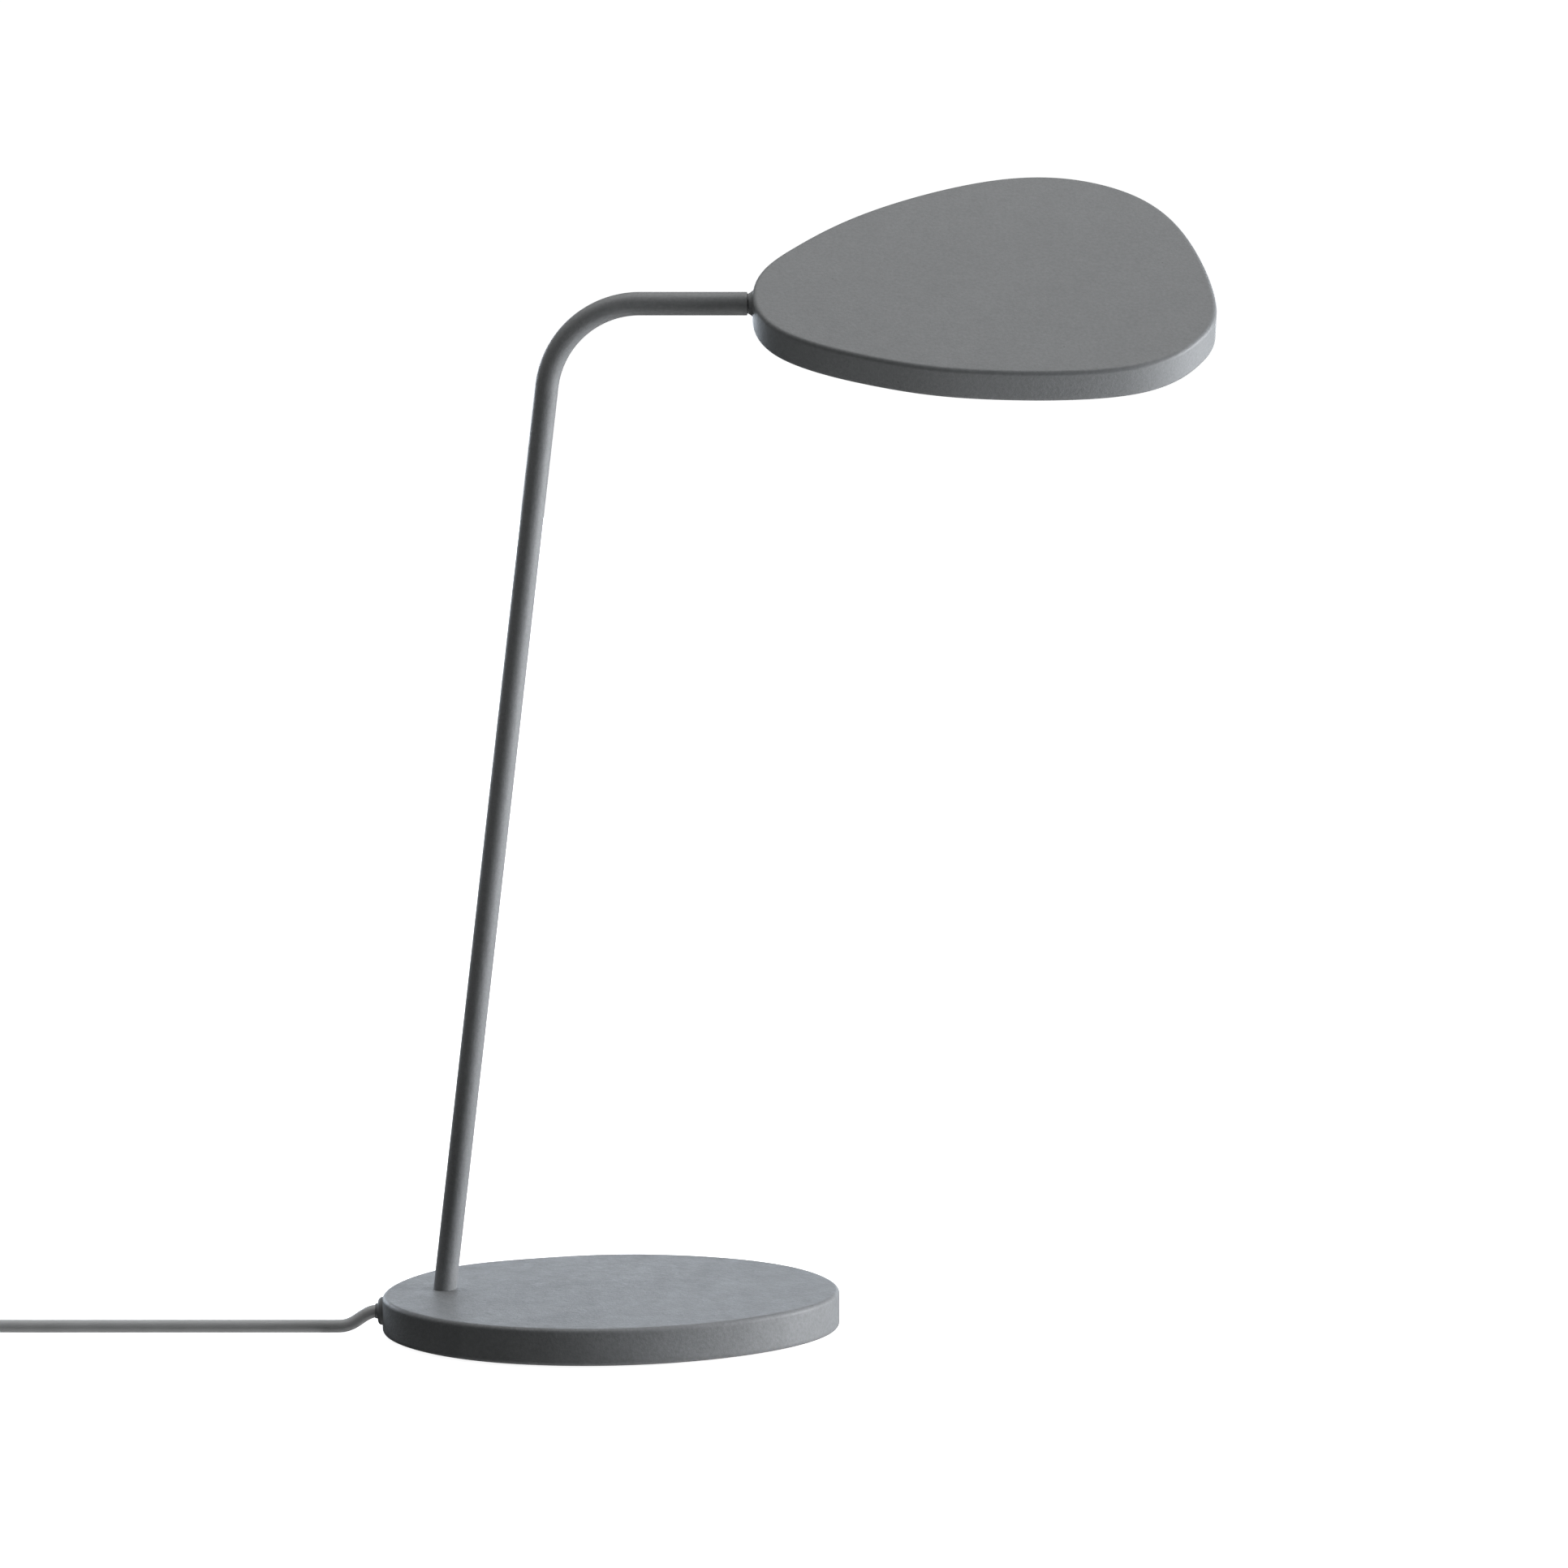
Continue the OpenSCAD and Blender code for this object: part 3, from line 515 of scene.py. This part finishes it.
def opal(name, colour):
    """Satin opal acrylic."""
    paint = Paint(name, colour, 0.38)
    paint.shader.inputs["Subsurface Weight"].default_value = 0.25
    paint.shader.inputs["Subsurface Radius"].default_value = (1, 0.95, 0.9)
    paint.shader.inputs["Subsurface Scale"].default_value = 1.5 * MM
    frost = paint.noise(0.25, 2)
    cloud = paint.noise(30, 2)
    paint.vary_colour(cloud, 0.985, 1.01)
    paint.vary_roughness(cloud, 0.03)
    paint.bump(frost, 0.008, 0.6)
    return paint.material


GREY = (0.2, 0.207, 0.212)
MATERIALS = {
    "powder_steel": powder_coat("powder_steel", (0.188, 0.194, 0.199), 0.11, 0.115, 0.07, 0.4),
    # The stem tube's paint is a lighter copy of the same grey. This is painted light for the stronger
    # light that falls on the stem from the right and below.
    "powder_tube_painted_light": powder_coat("powder_tube_painted_light", (0.22, 0.226, 0.231), 0.03, 0.085, 0.05, 0.12),
    "powder_alloy": powder_coat("powder_alloy", GREY, 0.025, 0.09, 0.03, 0.12),
    "steel": metal("steel", (0.62, 0.63, 0.64)),
    "ballast_steel": metal("ballast_steel", (0.3, 0.3, 0.31), 0.45, (1, 0.1, 1), 0.03),
    "aluminium": metal("aluminium", (0.78, 0.79, 0.8), 0.35, (0.08, 1, 1)),
    "foot_rubber": moulded("foot_rubber", (0.03, 0.03, 0.033), 0.75, 0.8, 0.06, 0.3),
    "grommet_rubber": moulded("grommet_rubber", (0.17, 0.176, 0.18), 0.55, 0.6, 0.02, 0.4),
    "black_plastic": moulded("black_plastic", (0.035, 0.035, 0.038), 0.45, 0.6, 0.06),
    "white_plastic": moulded("white_plastic", (0.82, 0.82, 0.8), 0.4),
    "nylon_washer": moulded("nylon_washer", (0.03, 0.03, 0.032), 0.5),
    "opal": opal("opal", (0.88, 0.88, 0.86)),
    "board": circuit_board("board", (0.02, 0.12, 0.05)),
    "board_white": circuit_board("board_white", (0.82, 0.82, 0.8)),
    "components": moulded("components", (0.14, 0.13, 0.12), 0.4),
    "phosphor": moulded("phosphor", (0.85, 0.65, 0.12), 0.5, 0.2),
    "wire": moulded("wire", (0.75, 0.75, 0.74), 0.4),
    "core_wire": moulded("core_wire", (0.2, 0.05, 0.04), 0.4),
    "cord": jacket("cord", (0.44, 0.445, 0.448)),
    "strap": woven("strap", (0.02, 0.02, 0.022)),
    "pin_metal": metal("pin_metal", (0.75, 0.72, 0.66), 0.22),
}


# ---------------------------------------------------------------- cord
def eased(t):
    """From 0 to 1 as t does, with a smooth start and end."""
    t = min(1.0, max(0.0, t))
    return t * t * (3 - 2 * t)


def coil_points(per_turn=16):
    """The wound cord, clockwise from above: inwards along the bottom, then outwards on top.

    Each turn keeps its radius and steps over to the next near its end.
    """
    step_t, low_from, top_from = 0.14, 0.86, 0.78
    points = []
    turns = 2 * TURNS_PER_LAYER
    inner = COIL_R - (TURNS_PER_LAYER - 1) * CORD_D
    low = COIL_LOW + CORD_D / 2
    for k in range(turns * per_turn + 1):
        turn, share = divmod(k / per_turn, 1)
        if k == turns * per_turn:
            turn, share = turns - 1, 1
        level = low
        if turn < TURNS_PER_LAYER - 1:
            radius = COIL_R - CORD_D * (turn + eased((share - low_from) / step_t))
        elif turn == TURNS_PER_LAYER - 1:
            radius = inner
            level += CORD_D * eased((share - low_from) / step_t)
        else:
            step = eased((share - top_from) / step_t) if turn < turns - 1 else 0
            radius = inner + CORD_D * (turn - TURNS_PER_LAYER + step)
            level += CORD_D
        angle = -pi / 2 - 2 * pi * k / per_turn
        points.append((COIL_AT[0] + radius * cos(angle), COIL_AT[1] + radius * sin(angle), level))
    return points


def add_cord(with_pieces):
    """The cord as one smooth curve: from the outlet, round the coil and into the adapter."""
    route = CORD_ROUTE + coil_points() + TAIL_ROUTE
    data = bpy.data.curves.new("cord", "CURVE")
    data.dimensions = "3D"
    data.bevel_depth = CORD_D / 2 * MM
    data.bevel_resolution = 8
    data.resolution_u = 5
    data.use_fill_caps = True
    line = data.splines.new("BEZIER")
    line.bezier_points.add(len(route) - 1)
    for point, at in zip(line.bezier_points, route):
        point.co = Vector(at) * MM
        point.handle_left_type = point.handle_right_type = "AUTO"
    data.materials.append(MATERIALS["cord"])
    cord = bpy.data.objects.new("cord", data)
    scene.collection.objects.link(cord)
    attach(cord, "stand")
    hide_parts("cord_run", "cord_coil", "cord_tail")


def add_tie():
    """A hook-and-loop strap round the wound cord, its free end lapped over the top."""
    gap, thick, corner, bevel = 0.1, 0.7, 2.2, 0.15
    inner = COIL_R - (TURNS_PER_LAYER - 0.5) * CORD_D - 0.6
    outer = COIL_R + CORD_D / 2 + gap
    top = COIL_LOW + 2 * CORD_D + gap
    half = TIE_W / 2 - bevel
    skin = Skin()
    inside = rounded_rectangle((inner, COIL_LOW), (outer, top), corner)
    outside = rounded_rectangle(
        (inner - thick, COIL_LOW - thick), (outer + thick, top + thick), corner + thick
    )
    edges = ((inside, -half), (inside, half), (outside, half), (outside, -half))
    rings = [skin.ring([(r, y, z) for r, z in loop]) for loop, y in edges]
    skin.walls([*rings, rings[0]])

    overlap, flap_t, steps = 14.0, 0.75, 12
    flap = []
    for k in range(steps + 1):
        x = outer - 3 - overlap * k / steps
        side = half * (1 if k < 9 else cos((k - 8) / 4 * pi / 2.4))
        low = top + thick + 0.02 + (0.12 if k > 10 else 0)
        high = low + flap_t
        flap.append(skin.ring([(x, -side, low), (x, side, low), (x, side, high), (x, -side, high)]))
    skin.walls(flap)
    skin.bm.faces.new(flap[0])
    skin.bm.faces.new(flap[-1])
    place = Matrix.Translation((*COIL_AT, 0)) @ Matrix.Rotation(TIE_ANGLE, 4, "Z")
    return skin.piece("cord_strap", "stand", "coil_tie", "strap", place)


# ---------------------------------------------------------------- adapter
def add_adapter_half(name, node, floor, split, way):
    """One half of the case, from its floor, up or down, to the split, with a thin shadow line there."""
    low = (ADAPTER_X - ADAPTER_SIZE[0], ADAPTER_Y - ADAPTER_SIZE[1] / 2)
    high = (ADAPTER_X, ADAPTER_Y + ADAPTER_SIZE[1] / 2)
    edge = ADAPTER_EDGE
    levels = [(edge + 0.4, floor)]
    levels += [(i, floor + way * z) for i, z in fillet(edge, 270, 180, (edge, edge))]
    levels += [(0, split - way * 0.5), (0, split - way * 0.3), (0.3, split)]
    levels += [(ADAPTER_WALL, split), (ADAPTER_WALL, floor + way * ADAPTER_WALL)]
    skin = Skin()
    rings = [
        skin.ring(rounded_rectangle(low, high, ADAPTER_CORNER, min(i, ADAPTER_CORNER - 0.5)), z)
        for i, z in levels
    ]
    skin.walls(rings)
    skin.cap(rings[0])
    skin.cap(rings[-1])
    return skin.piece(name, "stand", node, "black_plastic")


def add_pins():
    """Two pins with domed tips, each in a plastic sleeve at its root."""
    tip_t, tip_r = 1.6, 1.65
    skin = Skin()
    for side in (-1, 1):
        at = (ADAPTER_X - ADAPTER_SIZE[0] - 0.1, ADAPTER_Y + side * PIN_PITCH / 2, ADAPTER_SPLIT)
        turn = [k * pi / 12 for k in range(7)]
        metal_part = [(-PIN_LENGTH + tip_t * (1 - cos(a)), 0.3 + tip_r * sin(a)) for a in turn]
        metal_part += [(-PIN_SLEEVE - 0.4, 1.95), (-PIN_SLEEVE - 0.2, 1.9), (-PIN_SLEEVE + 0.4, 1.9)]
        sleeve = [(-PIN_SLEEVE - 0.2, 1.2), (-PIN_SLEEVE - 0.2, 1.9), (-PIN_SLEEVE, PIN_R)]
        sleeve += [(-0.2, PIN_R), (0, PIN_R), (0, PIN_ROOT_R), (6, PIN_ROOT_R)]
        skin.lathe(metal_part, 40, "X", at)
        skin.lathe(sleeve, 40, "X", at, material=1)
    return skin.piece(
        "plug_pins", "stand", "adapter_pins", "pin_metal", materials=["pin_metal", "black_plastic"]
    )


def add_relief():
    """A ribbed strain relief that widens from the cord to the adapter's case."""
    ribs, rib_depth, neck_r, flange_r = 6, 0.55, 3.25, 4.4
    mouth = TAIL_ROUTE[-1][0]
    length = mouth - ADAPTER_X
    profile = [(mouth + 0.02, CORD_D / 2 - 0.1), (mouth, 2.45), (mouth - 0.2, 2.7)]
    for k in range(ribs):
        start = mouth - 1.2 - (length - 2.4) * k / ribs
        r = 2.75 + 1.0 * (k + 0.5) / ribs
        profile += [(start, r), (start - 0.15, r - rib_depth)]
        profile += [(start - 0.75, r - rib_depth), (start - 0.9, r + 0.05)]
    profile += [(ADAPTER_X + 0.9, 3.8), (ADAPTER_X + 0.02, 3.8), (ADAPTER_X + 0.02, neck_r)]
    profile += [(ADAPTER_X - 2.02, neck_r), (ADAPTER_X - 2.02, flange_r), (ADAPTER_X - 3.5, flange_r)]
    skin = Skin()
    skin.lathe(profile, 48, "X", (0, ADAPTER_Y, ADAPTER_SPLIT))
    return skin.piece("cord_relief", "stand", "adapter_relief", "black_plastic")


def add_adapter():
    return [
        add_adapter_half("adapter_base", "adapter_body", 0.0, ADAPTER_SPLIT - 0.02, 1),
        add_adapter_half("adapter_top", "adapter_lid", ADAPTER_SIZE[2], ADAPTER_SPLIT, -1),
        add_pins(),
        add_relief(),
    ]


# ---------------------------------------------------------------- base
def shell_levels(wall, roof, rim, step, low, top):
    """(inset, level) pairs up the inside of an upside-down tray, round its rim and over its top."""
    levels = [(wall, roof), (wall, step), (rim, step), *low]
    levels += fillet(EDGE_R, 270, 180, (EDGE_R, low[-1][1] + EDGE_R))
    levels += [(0, low[-1][1] + EDGE_R + 0.4), (0, top - EDGE_R - 0.4)]
    levels += fillet(EDGE_R, 180, 90, (EDGE_R, top - EDGE_R), 8)
    return [*levels, (EDGE_R + 0.5, top)]


def add_base():
    """The hollow base with its two openings, the plate that closes it and the foot pad."""
    rim = [(BASE_RIM, BASE_LOW), (EDGE_R + 0.3, BASE_LOW)]
    skin = Skin()
    skin.slab(BASE_CURVE, shell_levels(BASE_WALL, BASE_ROOF, BASE_RIM, COVER_TOP, rim, BASE_TOP))
    stem_hole = cutter([(-8, TUBE_R + 0.03), (6, TUBE_R + 0.03)], STEM_PLACE, "Z")
    seat_r, sleeve_r = GROMMET_R + 0.05, GROMMET_SEAT_R + 0.05
    port = [(-90 - OUTLET[0], seat_r), (3.6, seat_r), (3.6, sleeve_r), (12, sleeve_r)]
    tools = [stem_hole, cutter(port, at=OUTLET)]
    skin.piece("base_shell", "stand", "base_body", "powder_steel", tools=tools)

    skin = Skin()
    bevel = 0.3
    levels = [(COVER_INSET + bevel, PAD_T), (COVER_INSET, PAD_T + bevel), (COVER_INSET, COVER_TOP - 0.05)]
    skin.slab(BASE_CURVE, levels)
    skin.piece("base_underplate", "stand", "base_cover", "powder_steel")

    skin = Skin()
    levels = [(PAD_INSET + 0.5, 0), (PAD_INSET + 0.25, 0), (PAD_INSET + 0.05, 0.1)]
    levels += [(PAD_INSET, 0.25), (PAD_INSET, PAD_T)]
    skin.slab(BASE_CURVE, levels)
    skin.piece("foot_sheet", "stand", "foot_pad", "foot_rubber")


def add_grommet():
    """A sleeve round the cord, a domed flange against the base and a lip inside its wall."""
    face, flange, wall = -0.35, 0.6, 3.6
    lip = -73.4 - OUTLET[0]
    bore = CORD_D / 2 + 0.05
    profile = [(face + 0.15, bore), (face, 2.35), (face, 2.45), (face + 0.15, 2.6)]
    profile += [(flange - 0.15, 2.7), (flange, 2.85)]
    for k in range(9):
        a = pi / 2 * k / 8
        profile.append((flange + DOME_T * (1 - cos(a)), DOME_R + (GROMMET_R - DOME_R) * sin(a)))
    profile += [(wall, GROMMET_R), (wall, GROMMET_SEAT_R), (lip, GROMMET_SEAT_R)]
    profile += [(lip, 4), (lip + 1, 3.8), (lip + 1, bore)]
    skin = Skin()
    skin.lathe(profile, 96, "X", OUTLET, closed=True)
    skin.piece("outlet_grommet", "stand", "cable_grommet", "grommet_rubber")


# ---------------------------------------------------------------- stem and swivel
def tube_section(skin, x, z, lean, radius, sides=64):
    """A ring across the tube, whose line leans this far from upright."""
    turn = [2 * pi * k / sides for k in range(sides)]
    return skin.ring(
        [(x + radius * cos(a) * cos(lean), radius * sin(a), z - radius * cos(a) * sin(lean)) for a in turn]
    )


def add_stem():
    """The hollow tube: a leaning stem, one bend and the level arm."""
    bend_angle = pi / 2 - LEAN
    reach = BEND_R * tan(bend_angle / 2)
    length = (ARM_Z - BASE_TOP) / cos(LEAN) - reach
    bend_x = FOOT_X + (ARM_Z - BASE_TOP) * tan(LEAN) + reach
    path = [
        (FOOT_X + s * sin(LEAN), BASE_TOP + s * cos(LEAN), LEAN) for s in (TUBE_FOOT, 0, length / 2)
    ]
    bend_steps = 48
    for k in range(bend_steps + 1):
        turned = bend_angle * k / bend_steps
        a = pi - LEAN - turned
        path.append((bend_x + BEND_R * cos(a), ARM_Z - BEND_R + BEND_R * sin(a), LEAN + turned))
    path += [(x, ARM_Z, pi / 2) for x in (bend_x + 12, ARM_END - 0.3)]

    skin = Skin()
    rings = [tube_section(skin, *at, TUBE_R) for at in path]
    for back, inwards in ((0.08, 0.06), (0, 0.25)):
        rings.append(tube_section(skin, ARM_END - back, ARM_Z, pi / 2, TUBE_R - inwards))
    inside = [(ARM_END, ARM_Z, pi / 2), *reversed(path)]
    rings += [tube_section(skin, *at, BORE_R) for at in inside]
    skin.walls([*rings, rings[0]])
    # The tube takes the lighter copy of the paint, which is painted light.
    skin.piece("bent_tube", "stand", "stem_tube", "powder_steel", materials=["powder_tube_painted_light"])


def add_collar():
    """The collar at the head's neck, which flares from the tube's ring to the head."""
    profile = [(COLLAR_FACE, COLLAR_BORE_R), (COLLAR_FACE, 3.45), (48.46, 3.54), (48.8, 3.68)]
    profile += [(49.2, 3.94), (49.6, 4.27), (49.9, 4.48), (COLLAR_SHOULDER, COLLAR_R)]
    profile += [(COLLAR_SHOULDER, COLLAR_SLEEVE_R), (COLLAR_END - 0.2, COLLAR_SLEEVE_R)]
    profile += [(COLLAR_END, COLLAR_SLEEVE_R - 0.15), (COLLAR_END, COLLAR_BORE_R)]
    skin = Skin()
    skin.lathe(profile, 72, "X", closed=True)
    skin.piece("swivel_collar", "head", "neck_bush", "powder_alloy", HEAD_PLACE)


# ---------------------------------------------------------------- head
def add_head_shell():
    low = -HEAD_HALF
    rim = [(HEAD_RIM, low + 0.1), (HEAD_RIM - 0.1, low), (EDGE_R + 0.2, low)]
    skin = Skin()
    skin.slab(HEAD_CURVE, shell_levels(HEAD_WALL, HEAD_ROOF, HEAD_RIM, LID_TOP, rim, HEAD_HALF))
    shoulder_r, sleeve_r = COLLAR_R + 0.02, COLLAR_SLEEVE_R + 0.02
    seat = [(40, shoulder_r), (COLLAR_SHOULDER, shoulder_r), (COLLAR_SHOULDER, sleeve_r), (62, sleeve_r)]
    tools = [cutter(seat, HEAD_PLACE)]
    skin.piece("head_housing", "head", "head_shell", "powder_alloy", HEAD_PLACE, tools)


def add_head_lid(screw_at):
    """The lid under the head, with its window, the button's hole and countersunk screw holes."""
    skin = Skin()

    def edge(outline, levels):
        rings = [skin.ring(outline(size), LID_LOW + up) for size, up in levels]
        skin.walls(rings)
        return rings

    deep = LID_TOP - LID_LOW
    outer = edge(lambda i: spline(HEAD_CURVE, i), ((2.75, 0), (2.5, 0.05), (2.4, 0.2), (2.4, deep)))
    window = ((-0.45, 0), (-0.2, 0.05), (-0.15, 0.2), (-0.15, deep))
    holes = [edge(lambda i: spline(WINDOW_CURVE, i), window)]
    button = ((4.65, 0), (4.42, 0.06), (4.35, 0.25), (4.35, deep))
    holes.append(edge(lambda r: circle(BUTTON_AT, r), button))
    for at in screw_at:
        sink = ((1.66, 0), (1.6, 0.06), (0.95, 0.8), (0.95, deep))
        holes.append(edge(lambda r, at=at: circle(at, r, 24), sink))
    for end in (0, -1):
        skin.cap(outer[end], *[rings[end] for rings in holes])
    skin.piece("head_lid", "head", "head_cover", "powder_alloy", HEAD_PLACE)


def add_lid_screws(screw_at):
    """Countersunk screws with a six-lobed recess."""
    skin = Skin()
    end = HEAD_ROOF - 1.2
    for at in screw_at:
        body = [(1.45, LID_LOW + 0.05), (1.56, LID_LOW + 0.12), (0.8, LID_LOW + 0.85), (0.8, end)]
        outside = [skin.ring(circle(at, r, 36), z) for r, z in body]
        recess = [
            skin.ring(lobed(at, 0.62 * scale, 0.13 * scale), LID_LOW + up)
            for scale, up in ((1, 0.05), (0.92, 0.12), (0.86, 0.55))
        ]
        skin.walls(outside)
        skin.walls([outside[0], recess[0]])
        skin.walls(recess)
        skin.cap(recess[-1])
        skin.cap(outside[-1])
    skin.piece("lid_screws", "head", "head_cover_screws", "steel", HEAD_PLACE)


def add_window():
    """The opal window, with a soft edge and a flange above the lid."""
    flange, flange_t = -3, 1.48
    levels = [(flange, LID_TOP + flange_t), (flange, LID_TOP), (0, LID_TOP), (0, LID_LOW + 0.35)]
    levels += [(0.08, LID_LOW + 0.12), (0.3, LID_LOW), (0.7, LID_LOW)]
    skin = Skin()
    skin.slab(WINDOW_CURVE, levels)
    skin.piece("light_window", "head", "diffuser", "opal", HEAD_PLACE)


def add_button():
    """The press button, dished for a fingertip."""
    face = LID_LOW - BUTTON_PROUD
    profile = [(-4, 3.2), (-4, 5), (LID_TOP + 0.15, 5), (LID_TOP + 0.15, 4.2)]
    edge = [(0.35, 4.2), (0.12, 4.12), (0, 3.85)]
    dish = [(0.02, 3.5), (0.12, 2.8), (0.2, 2), (0.25, 1.1), (0.26, 0.3)]
    profile += [(face + up, r) for up, r in edge + dish]
    skin = Skin()
    skin.lathe(profile, 64, "Z", (*BUTTON_AT, 0))
    skin.piece("dimmer_cap", "button", "dimmer_button", "black_plastic", HEAD_PLACE)


def add_head():
    add_head_shell()
    screw_at = [spline(HEAD_CURVE, LID_SCREW_INSET, 2)[i] for i in LID_SCREWS]
    add_head_lid(screw_at)
    add_lid_screws(screw_at)
    add_window()
    add_button()


# ---------------------------------------------------------------- studio
def add_area_light(name, at, aim, size, power, colour):
    data = bpy.data.lights.new(name, "AREA")
    data.shape = "RECTANGLE"
    data.size, data.size_y = size
    data.energy = power
    data.color = colour
    lamp = bpy.data.objects.new(name, data)
    lamp.location = at
    lamp.rotation_euler = (Vector(aim) - Vector(at)).to_track_quat("-Z", "Y").to_euler()
    lamp.visible_camera = False
    scene.collection.objects.link(lamp)


def stage_plane(name, length, width, level):
    """A level plane that isn't part of the object."""
    bm = bmesh.new()
    bmesh.ops.create_grid(bm, x_segments=1, y_segments=1, size=0.5)
    bmesh.ops.scale(bm, vec=(length, width, 1), verts=bm.verts)
    mesh = bpy.data.meshes.new(name)
    bm.to_mesh(mesh)
    bm.free()
    plane = bpy.data.objects.new(name, mesh)
    plane.location = (0, 0, level)
    scene.collection.objects.link(plane)
    return plane


def add_floor():
    """A floor that glows white, wholly so away from the lamp, and is clear from below."""
    floor = stage_plane("floor", FLOOR_SIZE, FLOOR_SIZE, -0.0002)
    floor.visible_diffuse = floor.visible_glossy = floor.visible_shadow = False
    material = bpy.data.materials.new("floor")
    material.use_nodes = True
    material.cycles.emission_sampling = "NONE"
    nodes, links = material.node_tree.nodes, material.node_tree.links
    nodes.clear()
    output = nodes.new("ShaderNodeOutputMaterial")
    mix = nodes.new("ShaderNodeMixShader")
    white = nodes.new("ShaderNodeBsdfPrincipled")
    white.inputs["Base Color"].default_value = (0.8, 0.8, 0.8, 1)
    white.inputs["Roughness"].default_value = 1
    white.inputs["Specular IOR Level"].default_value = 0
    white.inputs["Emission Color"].default_value = WHITE
    place = nodes.new("ShaderNodeTexCoord")
    away = nodes.new("ShaderNodeVectorMath")
    away.operation = "LENGTH"
    links.new(place.outputs["Object"], away.inputs[0])
    glow = nodes.new("ShaderNodeMapRange")
    glow.inputs["From Min"].default_value = FLOOR_NEAR
    glow.inputs["From Max"].default_value = FLOOR_FAR
    glow.inputs["To Min"].default_value = GLOW_NEAR
    glow.inputs["To Max"].default_value = GLOW_FAR
    links.new(away.outputs["Value"], glow.inputs["Value"])
    links.new(glow.outputs["Result"], white.inputs["Emission Strength"])
    clear = nodes.new("ShaderNodeBsdfTransparent")
    side = nodes.new("ShaderNodeNewGeometry")
    links.new(side.outputs["Backfacing"], mix.inputs["Fac"])
    links.new(white.outputs["BSDF"], mix.inputs[1])
    links.new(clear.outputs["BSDF"], mix.inputs[2])
    links.new(mix.outputs["Shader"], output.inputs["Surface"])
    floor.data.materials.append(material)


def add_world():
    """White where the camera sees past everything, and a dim cool room for all other rays."""
    world = bpy.data.worlds.new("studio")
    scene.world = world
    world.use_nodes = True
    nodes, links = world.node_tree.nodes, world.node_tree.links
    nodes.clear()
    output = nodes.new("ShaderNodeOutputWorld")
    mix = nodes.new("ShaderNodeMixShader")
    rays = nodes.new("ShaderNodeLightPath")
    room = nodes.new("ShaderNodeBackground")
    room.inputs["Color"].default_value = ROOM_COLOUR
    room.inputs["Strength"].default_value = ROOM_STRENGTH
    white = nodes.new("ShaderNodeBackground")
    white.inputs["Color"].default_value = WHITE
    white.inputs["Strength"].default_value = 1.0
    links.new(rays.outputs["Is Camera Ray"], mix.inputs["Fac"])
    links.new(room.outputs["Background"], mix.inputs[1])
    links.new(white.outputs["Background"], mix.inputs[2])
    links.new(mix.outputs["Shader"], output.inputs["Surface"])


def add_studio():
    """A white studio, lit most from the right, with soft light above and a cool panel far behind."""
    scene.view_settings.view_transform = "Standard"
    add_floor()
    # Keeps the light that comes up through the floor off the base.
    shade = stage_plane("shade", 0.2, 0.18, -0.0004)
    shade.visible_camera = shade.visible_diffuse = shade.visible_glossy = False
    add_world()
    for light in AREA_LIGHTS:
        add_area_light(*light)


# ---------------------------------------------------------------- all together
add_camera()
add_cord([*add_adapter(), add_tie()])
add_base()
add_grommet()
add_stem()
add_collar()
add_head()

# The CAD nodes that stay, each in its slot's material.
slot_of = {part["node"]: part["material_slot"] for part in frame["record"]["subparts"]}
for node, obj in frame["nodes"].items():
    obj.data.materials.clear()
    obj.data.materials.append(MATERIALS[slot_of[node]])

add_studio()
